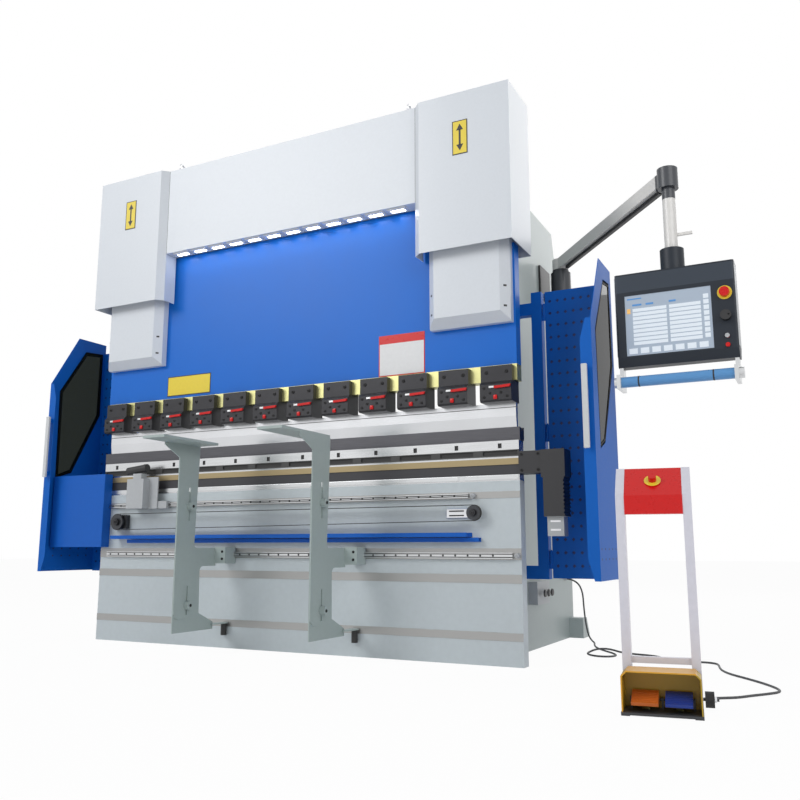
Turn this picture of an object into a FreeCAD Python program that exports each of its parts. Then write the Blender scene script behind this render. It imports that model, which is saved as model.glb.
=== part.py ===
import FreeCAD, Part
import math
import os
import re
import Sketcher
from FreeCAD import Placement, Rotation, Vector

# Hydraulic press brake, 100 t class, 2.5 m bending length.
# X runs along the bend, the operator stands at -Y, Z is up and Z = 0 is the floor.
# The origin is the centre of the bed's foot. All sizes are in millimetres.

SIZES = {
    # Bed, ram and frame
    "bend_length": 2500, "plate_thick": 60, "bed_top": 797, "band_proud": 2,
    "frame_gap": 2050, "frame_thick": 60, "throat_depth": 400, "throat_top": 1500, "throat_radius": 110,
    "frame_front_top": 90, "frame_top": 2385, "frame_back": 1345, "frame_waist": 1195, "frame_knee": 1100,
    "foot_width": 80, "foot_thick": 20, "foot_reach": 110, "sheet_thick": 3, "fit_gap": 0.3,
    # Crowning table and lower die
    "table_height": 180, "table_front": 32, "pocket_deep": 6, "pitch_screw": 211,
    "die_overhang": 5, "die_height": 59, "die_foot": 8, "die_half": 30, "vee_half": 16, "vee_deep": 16.6,
    # Ram, clamps and punch
    "strip_low": 1250, "ram_low": 1325, "crown_rise": 250, "ram_shoulder": 1900, "ram_crown_half": 834,
    "clamp_pitch": 211, "clamp_width": 150, "clamp_low": 1150, "clamp_front": 75, "clamp_plate": 30,
    "clamp_plate_top": 1317, "punch_inset": 15, "punch_tip": 1027, "punch_front": 15, "punch_back": 10,
    "lever_long": 70, "lever_low": 1209, "lever_thick": 9,
    # Cylinders, cross beams and tank
    "cylinder_x": 1055, "cylinder_radius": 90, "cylinder_clear": 220, "cylinder_long": 440, "rod_radius": 55,
    "flange_half": 105, "flange_thick": 40, "beam_low": 2285, "beam_height": 100, "beam_back": 300,
    "tank_front": 420, "tank_back": 980, "tank_low": 1960, "tank_height": 360, "tie_low": 560, "tie_height": 300,
    "tie_front": 1180, "tie_back": 1240, "eye_x": 735, "eye_radius": 18, "eye_thick": 12,
    # Covers
    "cover_in": 787, "cover_out": 1284, "cover_front": 157, "cover_back": 122, "cover_low": 1874,
    "cover_top": 2646, "cover_bevel": 35, "fascia_front": 122, "fascia_back": 40, "fascia_low": 2149,
    "skirt_in": 834, "skirt_out": 1240, "skirt_front": 104, "skirt_low": 1517, "skirt_high": 1960,
    "skirt_bevel": 38, "skirt_foot": 46,
    # Rails, belt drive and sensor carriage on the bed's front
    "rail_thick": 18, "rail_up_low": 725, "rail_up_height": 19, "rail_up_left": 1186, "rail_up_right": 1011,
    "rail_lo_low": 456, "rail_lo_height": 26, "rail_lo_left": 1185, "rail_lo_right": 1215,
    "belt_y": 70, "belt_wide": 16, "belt_thick": 3, "belt_left": 1093, "belt_right": 1045,
    "pulley_left_z": 645, "pulley_right_z": 657, "pulley_left_radius": 42, "pulley_right_radius": 33,
    "tray_low": 551, "tray_height": 19, "tray_front": 96, "tray_left": 1120, "tray_right": 1020,
    "lip_low": 529, "lip_front": 62, "lip_left": 1025, "lip_right": 1063,
    "sensor_left": 990, "sensor_box_long": 120, "sensor_plate_long": 181, "sensor_block_long": 241,
    "sensor_low": 714, "sensor_box_height": 162, "sensor_plate_height": 172, "sensor_block_height": 40,
    "sensor_front": 120, "sensor_plate_front": 66, "camera_radius": 21, "camera_long": 140,
    # Front support arms
    "arm_left_x": -360, "arm_right_x": 410, "arm_thick": 5, "slider_thick": 5, "arm_front": 412, "arm_back": 284,
    "arm_low": 102, "arm_top": 775, "branch_high": 503, "branch_low": 413, "branch_tip": 111, "foot_tip": 116,
    "foot_high": 136, "arm_root": 232, "arm_foot_back": 226, "arm_foot_high": 186,
    "slider_top": 939, "slider_peak": 992, "slider_low": 166, "slider_front": 415, "slider_back": 267,
    "table_z": 1006, "table_thick": 12, "table_reach": 658, "table_near": 271, "table_wide": 130,
    "block_low": 425, "block_height": 81, "block_front": 120, "block_long": 67, "roller_radius": 31, "roller_z": 97,
    "roller_wide": 30, "knob_radius": 20, "knob_upper_y": 332, "knob_upper_z": 704, "knob_lower_y": 324,
    "knob_lower_z": 229,
    # Side guards
    "guard_out": 1620, "guard_front": 145, "guard_back": 260, "guard_low": 370, "guard_top": 1785,
    "guard_cut_y": 43, "guard_cut_z": 1465, "flange_wide": 50, "hinge_x": 1295.5, "hinge_radius": 7,
    "pin_radius": 4, "knuckle_long": 60, "base_radius": 5, "peg_top": 1730, "peg_rim": 25, "peg_pitch": 38,
    "peg_pitch_z": 60, "peg_half": 9, "post_in": 1237, "post_wide": 51, "post_low": 361,
    "post_top": 1731, "handle_low": 908, "handle_high": 1261,
    "box_left": 1600, "box_right": 1190, "box_front": 90, "box_low": 507, "box_height": 408,
    # Crowning motor
    "gear_long": 103, "gear_low": 826, "gear_height": 98, "motor_long": 106, "motor_low": 636, "motor_top": 926,
    "motor_half": 50, "plug_long": 73, "plug_low": 553,
    # Control pendant
    "drum_x": 1190, "drum_y": 955, "drum_radius": 56, "drum_low": 1930, "drum_height": 120, "arm_tube_z": 2100,
    "arm_tube_half": 30, "drop_x": 1937, "drop_y": 45, "drop_radius": 28, "hub_radius": 50, "hub_low": 1672,
    "hub_top": 1770, "console_left": 1698, "console_right": 2185, "console_low": 1262, "console_front": -15,
    "console_deep": 100, "handle_z": 1190, "handle_y": -45, "handle_radius": 22.5, "screen_wide": 352,
    "screen_high": 265, "screen_left": 1738, "screen_low": 1308, "knob_x": 2143, "knob_z": 1436,
    "stop_drop": 137, "button_radius": 9, "button_out": 8, "grey_drop": 319, "red_drop": 357,
    # Pedal stand
    "stand_x": 1960, "stand_y": -853, "stand_turn": 8, "stand_wide": 240, "stand_deep": 200, "stand_plate": 8,
    "stand_floor": 3, "hood_height": 132, "stand_post_x": 92, "stand_post_y": 132, "stand_post_z": 680,
    "stand_post_wide": 28, "stand_post_deep": 50, "pedal_wide": 80, "pedal_x": 50, "pedal_low": 30, "pedal_pin_z": 38, "slope_rise": 92,
    "wheel_radius": 25, "wheel_wide": 28, "gland_x": 95, "gland_z": 18, "gland_end": 16, "outlet_y": 1180,
    "outlet_z": 330,
    # Cable between the frame and the pedal stand
    "cable_radius": 4.5,
}

doc = FreeCAD.newDocument("press_brake")
sheet = doc.addObject("Spreadsheet::Sheet", "sizes")
for row, (alias, value) in enumerate(SIZES.items(), start=1):
    sheet.set("A%d" % row, alias)
    sheet.set("B%d" % row, str(value))
    sheet.setAlias("B%d" % row, alias)
doc.recompute()

WORD = re.compile(r"[a-z][a-z_]*[a-z]")


def full(formula):
    """The formula with each size's name written as a cell of the sheet."""
    return WORD.sub(lambda word: "sizes." + word.group() if word.group() in SIZES else word.group(), str(formula))


def size(alias):
    """A size read from the sheet, for shapes that are worked out in this script."""
    return float(getattr(sheet, alias))


def bind(thing, **formulas):
    for name, formula in formulas.items():
        thing.setExpression(name.replace("__", "."), full(formula))
    return thing


def put(thing, x, y, z):
    return bind(thing, Placement__Base__x=x, Placement__Base__y=y, Placement__Base__z=z)


def span(side, near, far):
    """A range along X on the right side (+1), or its mirror image on the left (-1)."""
    if side > 0:
        return "(%s)" % near, "(%s)" % far
    return "-(%s)" % far, "-(%s)" % near


def box(name, x, y, z):
    """A block between two formulas along each axis."""
    block = doc.addObject("Part::Box", name)
    bind(block, Length="(%s) - (%s)" % (x[1], x[0]), Width="(%s) - (%s)" % (y[1], y[0]),
         Height="(%s) - (%s)" % (z[1], z[0]))
    return put(block, x[0], y[0], z[0])


TURN = {"X": Rotation(Vector(0, 0, 1), Vector(1, 0, 0)), "Y": Rotation(Vector(0, 0, 1), Vector(0, 1, 0)),
        "Z": Rotation()}


def rod(name, axis, at, long, radius):
    """A cylinder that starts at a point and runs along an axis."""
    bar = doc.addObject("Part::Cylinder", name)
    bar.Placement = Placement(Vector(), TURN[axis])
    bind(bar, Radius=radius, Height=long)
    return put(bar, *at)


def cut(name, base, *tools):
    result = doc.addObject("Part::Cut", name)
    result.Base = base
    result.Tool = tools[0] if len(tools) == 1 else fuse(name + "_tools", *tools)
    return result


def fuse(name, *pieces):
    result = doc.addObject("Part::MultiFuse", name)
    result.Shapes = list(pieces)
    return result


def group(name, *pieces):
    """Pieces of one node that do not touch each other."""
    result = doc.addObject("Part::Compound", name)
    result.Links = list(pieces)
    return result


def origin_plane(body, role):
    return next(plane for plane in body.Origin.OriginFeatures if plane.Role == role)


def sketch(body, name, plane, outlines, offset="0"):
    """A sketch on an origin plane, its corners bound to pairs of formulas."""
    drawing = body.newObject("Sketcher::SketchObject", name)
    drawing.AttachmentSupport = [(origin_plane(body, plane + "_Plane"), "")]
    drawing.MapMode = "FlatFace"
    bind(drawing, AttachmentOffset__Base__z=offset)
    for outline in outlines:
        corners = [Vector(worth(u), worth(v), 0) for u, v in outline]
        first = drawing.GeometryCount
        count = len(corners)
        for index in range(count):
            drawing.addGeometry(Part.LineSegment(corners[index], corners[(index + 1) % count]))
        for index in range(count):
            drawing.addConstraint(Sketcher.Constraint(
                "Coincident", first + index, 2, first + (index + 1) % count, 1))
        for index, (u, v) in enumerate(outline):
            for kind, formula, value in (("DistanceX", u, corners[index].x), ("DistanceY", v, corners[index].y)):
                number = drawing.addConstraint(Sketcher.Constraint(kind, -1, 1, first + index, 1, value))
                drawing.setExpression("Constraints[%d]" % number, full(formula))
    return drawing


def worth(formula):
    """The value of a formula now, for a sketch's first geometry."""
    return float(sheet.evalExpression(str(formula)))


def body_of(name):
    return doc.addObject("PartDesign::Body", name)


def pad(body, name, plane, outlines, low, high):
    """Outlines padded between two formulas along the plane's axis.

    A sketch on the XZ plane faces -Y, so its pad starts at the higher Y.
    """
    start = "-(%s)" % high if plane == "XZ" else low
    drawing = sketch(body, name + "_sketch", plane, outlines, start)
    feature = body.newObject("PartDesign::Pad", name)
    feature.Profile = drawing
    return bind(feature, Length="(%s) - (%s)" % (high, low))


def pocket(body, name, plane, outlines, low, high):
    """Outlines cut out between two formulas along the plane's axis."""
    start = "-(%s)" % high if plane == "XZ" else low
    drawing = sketch(body, name + "_sketch", plane, outlines, start)
    feature = body.newObject("PartDesign::Pocket", name)
    feature.Profile = drawing
    feature.Reversed = True
    return bind(feature, Length="(%s) - (%s)" % (high, low))


def rectangle(u, v):
    return [(u[0], v[0]), (u[1], v[0]), (u[1], v[1]), (u[0], v[1])]


def round_edges(body, name, base, radius, wanted):
    """A fillet on the edges of a feature whose middle point passes a test."""
    doc.recompute()
    names = ["Edge%d" % (index + 1) for index, edge in enumerate(base.Shape.Edges) if wanted(edge)]
    feature = body.newObject("PartDesign::Fillet", name)
    feature.Base = (base, names)
    return bind(feature, Radius=radius)


def edge_at(axis, first, second, reach=1.0):
    """Whether a straight edge runs along an axis through a point of the other two axes."""
    others = [letter for letter in "xyz" if letter != axis]

    def test(edge):
        low, high = edge.BoundBox, edge.BoundBox
        for letter, value in zip(others, (first, second)):
            near = getattr(low, letter.upper() + "Min")
            far = getattr(high, letter.upper() + "Max")
            if abs(near - value) > reach or abs(far - value) > reach:
                return False
        return True
    return test


NODES = {}


def node(name, shape):
    """Names the object that becomes one piece of the machine."""
    shape.Label = name
    NODES[name] = shape
    return shape


SIDES = (("left", -1), ("right", 1))
BED_FRONT = "-plate_thick / 2"
BAND_FRONT = "-plate_thick / 2 - band_proud"
TABLE_TOP = "bed_top + table_height"
HALF = "bend_length / 2"
FULL_X = ("-bend_length / 2", "bend_length / 2")


def bed_plate():
    """The bed: one heavy plate on the floor, with machined bands that carry the rails."""
    body = body_of("bed_plate")
    pad(body, "bed_slab", "XY", [rectangle(FULL_X, ("-plate_thick / 2", "plate_thick / 2"))], "0", "bed_top")
    rail_up = ("rail_up_low - 4", "rail_up_low + rail_up_height + 7")
    rail_lo = ("rail_lo_low - 5", "rail_lo_low + rail_lo_height + 19")
    bands = [rectangle(FULL_X, span_z) for span_z in (rail_up, rail_lo, ("350", "388"), ("107", "142"))]
    body.Tip = pad(body, "machined_bands", "XZ", bands, BAND_FRONT, BED_FRONT)
    return node("bed_plate", body)


def crowning_table():
    """The die holder with its stepped front, screw recesses above and long pockets below."""
    low, top = "bed_top", TABLE_TOP
    front = "-table_front"
    body = body_of("crowning_table")
    outline = [("plate_thick / 2", low), ("plate_thick / 2", top), (front, top), (front, top + " - 72"),
               (front + " + 5", top + " - 72"), (front + " + 5", top + " - 80"), (front + " + 2", top + " - 80"),
               (front + " + 2", top + " - 108"), (front + " + 6", top + " - 108"), (front + " + 6", top + " - 153"),
               (front, top + " - 153"), (front, top + " - 176"), (front + " + 4", top + " - 176"),
               (front + " + 4", low)]
    pad(body, "table_section", "YZ", [outline], *FULL_X)
    holes = []
    for index in range(12):
        middle = "(%d - 5.5) * pitch_screw" % index
        holes.append(rectangle((middle + " - 9", middle + " + 9"), (top + " - 34", top + " - 12")))
        holes.append(rectangle((middle + " - 82", middle + " + 82"), (top + " - 66", top + " - 46")))
    body.Tip = pocket(body, "table_recesses", "XZ", holes, front, front + " + pocket_deep")
    return node("crowning_table", body)


def lower_die():
    low, high = TABLE_TOP, TABLE_TOP + " + die_height"
    step = TABLE_TOP + " + die_foot"
    body = body_of("lower_die")
    outline = [("2 - die_half", low), ("2 - die_half", step), ("-die_half", step), ("-die_half", high),
               ("-vee_half", high), ("0", high + " - vee_deep"), ("vee_half", high), ("die_half", high),
               ("die_half", step), ("die_half - 2", step), ("die_half - 2", low)]
    body.Tip = pad(body, "die_section", "YZ", [outline], "-bend_length / 2 - die_overhang",
                   "bend_length / 2 + die_overhang")
    return node("lower_die", body)


def side_frame(name, side):
    """A C-shaped plate that ties the bed to the cylinders round the throat."""
    near, far = span(side, "frame_gap / 2", "frame_gap / 2 + frame_thick")
    body = body_of("side_frame_" + name)
    throat = "plate_thick / 2 + throat_depth"
    outline = [("plate_thick / 2", "0"), ("plate_thick / 2", "bed_top"), (throat, "bed_top"),
               (throat, "throat_top"), ("frame_front_top", "throat_top"), ("frame_front_top", "frame_top"),
               ("frame_waist - 50", "frame_top - 15"), ("frame_waist", "frame_top - 177"),
               ("frame_waist", "throat_top"), ("frame_back", "frame_knee"), ("frame_back", "0")]
    slab = pad(body, "frame_outline_" + name, "YZ", [outline], near, far)
    corner = size("plate_thick") / 2 + size("throat_depth")

    def in_throat(edge):
        return any(edge_at("x", corner, z)(edge) for z in (size("bed_top"), size("throat_top")))
    body.Tip = round_edges(body, "throat_fillet_" + name, slab, "throat_radius", in_throat)
    foot = body_of("foot_" + name)
    base = [("frame_back - 90", "0"), ("frame_back + 40", "0"), ("frame_back + 40", "foot_thick"),
            ("frame_back - 10", "foot_reach"), ("frame_back - 90", "foot_reach")]
    foot.Tip = pad(foot, "foot_wedge_" + name, "YZ", [base],
                   *span(side, "frame_gap / 2 + frame_thick", "frame_gap / 2 + frame_thick + foot_width"))
    return node("side_frame_" + name, fuse("frame_and_foot_" + name, body, foot))


def cylinder(name, side):
    """A hydraulic cylinder: barrel, end cap and the square flange bolted to the frame's front."""
    centre = "%d * cylinder_x" % side
    low = "ram_shoulder + cylinder_clear"
    top = low + " + cylinder_long"
    barrel = rod("barrel_" + name, "Z", (centre, "0", low), "cylinder_long", "cylinder_radius")
    cap = rod("cap_" + name, "Z", (centre, "0", top), "30", "cylinder_radius - 18")
    flange = box("flange_" + name, (centre + " - flange_half", centre + " + flange_half"),
                 ("0", "frame_front_top"), ("frame_top - flange_thick - 60", "frame_top - 60"))
    bore = rod("bore_" + name, "Z", (centre, "0", low + " - 1"), "crown_rise + 1", "rod_radius + fit_gap")
    return cut("cylinder_body_" + name, fuse("cylinder_mass_" + name, barrel, cap, flange), bore)


def cross_beams():
    """The upper beam with its two brackets to the fascia, and the lower tie at the back."""
    body = body_of("upper_cross_beam")
    inside = ("-frame_gap / 2", "frame_gap / 2")
    beam_top = "beam_low + beam_height"
    channel = [("frame_front_top", "beam_low"), ("beam_back", "beam_low"), ("beam_back", beam_top),
               ("frame_front_top", beam_top), ("frame_front_top", beam_top + " - 20"),
               ("beam_back - 20", beam_top + " - 20"), ("beam_back - 20", "beam_low + 20"),
               ("frame_front_top", "beam_low + 20")]
    pad(body, "beam_channel", "YZ", [channel], *inside)
    arms = [rectangle((place + " - 10", place + " + 10"), ("sheet_thick - fascia_front", "beam_back - 10"))
            for place in ("-cover_in + 60", "cover_in - 60")]
    body.Tip = pad(body, "fascia_arms", "XY", arms, "beam_low", beam_top)
    node("upper_cross_beam", body)
    tie = body_of("rear_cross_beam")
    plate = [("tie_front", "tie_low"), ("tie_back", "tie_low"), ("tie_back", "tie_low + tie_height"),
             ("tie_front", "tie_low + tie_height")]
    tie.Tip = pad(tie, "tie_plate", "YZ", [plate], *inside)
    return node("rear_cross_beam", tie)


def oil_tank():
    """The hydraulic tank between the frames, with its filler, motor and valve block on the lid."""
    body = body_of("tank_body")
    top = "tank_low + tank_height"
    x = ("-frame_gap / 2", "frame_gap / 2")
    shell = pad(body, "tank_block", "XY", [rectangle(x, ("tank_front", "tank_back"))], "tank_low", top)
    corners = [size("tank_front"), size("tank_back")]

    def lower_edge(edge):
        return any(edge_at("x", y, size("tank_low"))(edge) for y in corners)
    body.Tip = round_edges(body, "tank_bend", shell, "30", lower_edge)
    motor = rod("tank_motor", "Z", ("-260", "700", top), "300", "95")
    valve = box("tank_valve", ("60", "260"), ("620", "780"), (top, top + " + 120"))
    filler = rod("tank_filler", "Z", ("420", "640", top), "60", "35")
    return node("oil_tank", fuse("tank_unit", body, motor, valve, filler))


def upper_cover(name, side):
    """A folded sheet cover over one cylinder, open below, slotted for the ram and the frame."""
    def plan(inset):
        points = [("cover_in + %s" % inset, "cover_bevel + %s / 2 - cover_front" % inset),
                  ("cover_in + cover_bevel + %s / 2" % inset, "-cover_front + %s" % inset),
                  ("cover_out - %s" % inset, "-cover_front + %s" % inset),
                  ("cover_out - %s" % inset, "cover_back - %s" % inset),
                  ("cover_in + %s" % inset, "cover_back - %s" % inset)]
        return [("%d * (%s)" % (side, x), y) for x, y in points]
    body = body_of("upper_cover_" + name)
    pad(body, "cover_shell_" + name, "XY", [plan("0")], "cover_low", "cover_top")
    pocket(body, "cover_hollow_" + name, "XY", [plan("sheet_thick")], "cover_low", "cover_top - sheet_thick")
    gap = span(side, "frame_gap / 2 - 3", "frame_gap / 2 + frame_thick + 3")
    slot = rectangle(gap, ("frame_front_top - 1", "cover_back + 1"))
    pocket(body, "frame_slot_" + name, "XY", [slot], "cover_low", "frame_top + 3")
    inner = span(side, "cover_in - 1", "frame_gap / 2")
    ram_slot = rectangle(inner, ("-fascia_back", "cover_back + 1"))
    body.Tip = pocket(body, "ram_slot_" + name, "XY", [ram_slot], "cover_low", "beam_low + beam_height + 2")
    return body


def fascia():
    """The panel between the covers: a folded sheet with a return and a row of lamps below."""
    body = body_of("fascia_body")
    front, back, low = "-fascia_front", "-fascia_back", "fascia_low"
    shell = [(front, low), (back, low), (back, low + " + sheet_thick"),
             (front + " + sheet_thick", low + " + sheet_thick"), (front + " + sheet_thick", "cover_top - sheet_thick"),
             (back, "cover_top - sheet_thick"), (back, "cover_top"), (front, "cover_top")]
    body.Tip = pad(body, "fascia_shell", "YZ", [shell], "-cover_in", "cover_in")
    lamps = []
    for index in range(12):
        left = "-cover_in + 40 + %d * (2 * cover_in - 80) / 12" % index
        lamps.append(box("lamp_%d" % index, (left, left + " + 100"), (front + " + 14", back + " - 14"),
                         (low + " - 6", low)))
    node("fascia_lamps", group("lamp_row", *lamps))
    return node("fascia", body)


def lifting_eyes():
    eyes = []
    for name, side in SIDES:
        centre = ("%d * eye_x" % side)
        middle = ("(-fascia_front - fascia_back) / 2")
        ring = doc.addObject("Part::Torus", "eye_ring_" + name)
        ring.Placement = Placement(Vector(), TURN["X"])
        bind(ring, Radius1="eye_radius", Radius2="eye_thick / 2")
        put(ring, centre, middle, "cover_top + eye_radius + eye_thick / 2 + 4")
        collar = rod("eye_collar_" + name, "Z", (centre, middle, "cover_top"), "12", "eye_thick + 2")
        eyes.append(fuse("eye_" + name, ring, collar))
    return node("lifting_eyes", group("eye_pair", *eyes))


def ram():
    """The ram plate with its high middle, and the rods that drive its shoulders."""
    body = body_of("ram_beam")
    crown = "ram_shoulder + crown_rise"
    outline = [("-bend_length / 2", "ram_low"), ("bend_length / 2", "ram_low"), ("bend_length / 2", "ram_shoulder"),
               ("ram_crown_half", "ram_shoulder"), ("ram_crown_half", crown), ("-ram_crown_half", crown),
               ("-ram_crown_half", "ram_shoulder"), ("-bend_length / 2", "ram_shoulder")]
    slab = pad(body, "ram_slab", "XZ", [outline], "-plate_thick / 2", "plate_thick / 2")

    def shoulder(edge):
        return any(edge_at("y", side * size("ram_crown_half"), size("ram_shoulder"))(edge) for side in (-1, 1))
    body.Tip = round_edges(body, "shoulder_fillet", slab, "40", shoulder)
    node("ram_beam", body)
    strip = body_of("ram_strip")
    section = [("-plate_thick / 2", "strip_low"), ("plate_thick / 2", "strip_low"), ("plate_thick / 2", "ram_low"),
               ("-plate_thick / 2", "ram_low")]
    strip.Tip = pad(strip, "strip_bar", "YZ", [section], *FULL_X)
    node("ram_strip", strip)
    rods = [rod("piston_rod_" + name, "Z", ("%d * cylinder_x" % side, "0", "ram_shoulder"),
                "cylinder_clear + 90", "rod_radius") for name, side in SIDES]
    return node("piston_rods", group("rod_pair", *rods))


def tooling():
    """Twelve clamps under the ram with their levers, and the punch that they hold."""
    clamps, levers = [], []
    front, step = "-clamp_front", "-plate_thick / 2 - clamp_plate"
    back = "plate_thick / 2"
    outline = [(front, "clamp_low + 8"), (front + " + 8", "clamp_low"), (back, "clamp_low"), (back, "strip_low"),
               ("-plate_thick / 2", "strip_low"), ("-plate_thick / 2", "clamp_plate_top"), (step, "clamp_plate_top"),
               (step, "strip_low - 6"), (front, "strip_low - 21")]
    for index in range(12):
        middle = "(%d - 5.5) * clamp_pitch" % index
        clamp = body_of("clamp_%d" % index)
        clamp.Tip = pad(clamp, "clamp_section_%d" % index, "YZ", [outline], middle + " - clamp_width / 2",
                        middle + " + clamp_width / 2")
        clamps.append(clamp)
        lever = body_of("lever_%d" % index)
        bar = [(middle + " - 4", "lever_low"), (middle + " + lever_long", "lever_low + 3"),
               (middle + " + 4 + lever_long", "lever_low + 15"), (middle + " - 4", "lever_low + 11")]
        lever.Tip = pad(lever, "lever_bar_%d" % index, "XZ", [bar], front + " - lever_thick", front)
        levers.append(lever)
    node("tool_clamps", group("clamp_row", *clamps))
    node("clamp_levers", group("lever_row", *levers))
    punch = body_of("punch")
    section = [("-punch_front", "clamp_low"), ("-punch_front", "punch_tip + 62"), ("-8", "punch_tip + 8.6"),
               ("0", "punch_tip"), ("8", "punch_tip + 8.6"), ("punch_back", "punch_tip + 40"),
               ("punch_back", "clamp_low")]
    punch.Tip = pad(punch, "punch_section", "YZ", [section], "-bend_length / 2 + punch_inset",
                    "bend_length / 2 - punch_inset")
    return node("punch", punch)


def ram_cover(name, side):
    """The bevelled skirt on the ram's front below each upper cover, open at the back."""
    bevel, foot = "skirt_bevel", "skirt_foot"
    body = body_of("ram_cover_" + name)

    def plan(inset):
        points = [("skirt_in + %s" % inset, BED_FRONT), ("skirt_in + %s" % inset, "%s - skirt_front" % bevel),
                  ("skirt_in + %s" % bevel, "%s - skirt_front" % inset),
                  ("skirt_out - %s" % bevel, "%s - skirt_front" % inset),
                  ("skirt_out - %s" % inset, "%s - skirt_front" % bevel), ("skirt_out - %s" % inset, BED_FRONT)]
        return [("%d * (%s)" % (side, x), y) for x, y in points]
    pad(body, "skirt_block_" + name, "XY", [plan("0")], "skirt_low", "skirt_high")
    slope = [("-skirt_front - 1", "skirt_low - 1"), ("-skirt_front + %s" % foot, "skirt_low - 1"),
             ("-skirt_front - 1", "skirt_low + %s" % foot)]
    pocket(body, "skirt_slope_" + name, "YZ", [slope], *span(side, "skirt_in - 1", "skirt_out + 1"))
    body.Tip = pocket(body, "skirt_hollow_" + name, "XY", [plan("sheet_thick")],
                      "skirt_low + %s + sheet_thick" % foot, "skirt_high + 1")
    return body


def bed_rails():
    """The sensor's guide rail above and the support arms' rail below, both with grooved sides."""
    for name, low, high, left, right in (
            ("upper_rail", "rail_up_low", "rail_up_low + rail_up_height", "-rail_up_left", "rail_up_right"),
            ("lower_rail", "rail_lo_low", "rail_lo_low + rail_lo_height", "-rail_lo_left", "rail_lo_right")):
        body = body_of(name)
        back, front = BAND_FRONT, BAND_FRONT + " - rail_thick"
        waist = BAND_FRONT + " - rail_thick / 2"
        outline = [(back, low), (back, high), (front, high), (front, high + " - 4"), (waist, high + " - 6"),
                   (front, high + " - 8"), (front, low + " + 8"), (waist, low + " + 6"), (front, low + " + 4"),
                   (front, low)]
        body.Tip = pad(body, name + "_section", "YZ", [outline], left, right)
        node(name, body)


def belt_loop(body, name, grow, low, high, feature):
    """A closed run round both pulleys: two arcs and the two lines that touch them."""
    left = Vector(-size("belt_left"), size("pulley_left_z"), 0)
    right = Vector(size("belt_right"), size("pulley_right_z"), 0)
    big, small = size("pulley_left_radius") + worth(grow), size("pulley_right_radius") + worth(grow)
    along = right - left
    lean = math.atan2(along.y, along.x)
    side = math.acos((big - small) / along.Length)
    drawing = body.newObject("Sketcher::SketchObject", name + "_sketch")
    drawing.AttachmentSupport = [(origin_plane(body, "XZ_Plane"), "")]
    drawing.MapMode = "FlatFace"
    bind(drawing, AttachmentOffset__Base__z="-(%s)" % high)
    up = Vector(math.cos(lean + side), math.sin(lean + side), 0)
    down = Vector(math.cos(lean - side), math.sin(lean - side), 0)
    axis = Vector(0, 0, 1)
    drawing.addGeometry(Part.ArcOfCircle(Part.Circle(left, axis, big), lean + side, lean - side + 2 * math.pi))
    drawing.addGeometry(Part.LineSegment(left + down * big, right + down * small))
    drawing.addGeometry(Part.ArcOfCircle(Part.Circle(right, axis, small), lean - side, lean + side))
    drawing.addGeometry(Part.LineSegment(right + up * small, left + up * big))
    for first, end, second, start in ((0, 2, 1, 1), (1, 2, 2, 1), (2, 2, 3, 1), (3, 2, 0, 1)):
        drawing.addConstraint(Sketcher.Constraint("Tangent", first, end, second, start))
    for arc, x, z, radius, value in (
            (0, "-belt_left", "pulley_left_z", "pulley_left_radius + " + grow, big),
            (2, "belt_right", "pulley_right_z", "pulley_right_radius + " + grow, small)):
        for kind, formula, number in (("DistanceX", x, worth(x)), ("DistanceY", z, worth(z))):
            place = drawing.addConstraint(Sketcher.Constraint(kind, -1, 1, arc, 3, number))
            drawing.setExpression("Constraints[%d]" % place, full(formula))
        place = drawing.addConstraint(Sketcher.Constraint("Radius", arc, value))
        drawing.setExpression("Constraints[%d]" % place, full(radius))
    result = body.newObject(feature, name)
    result.Profile = drawing
    if feature == "PartDesign::Pocket":
        result.Reversed = True
    return bind(result, Length="(%s) - (%s)" % (high, low))


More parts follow.
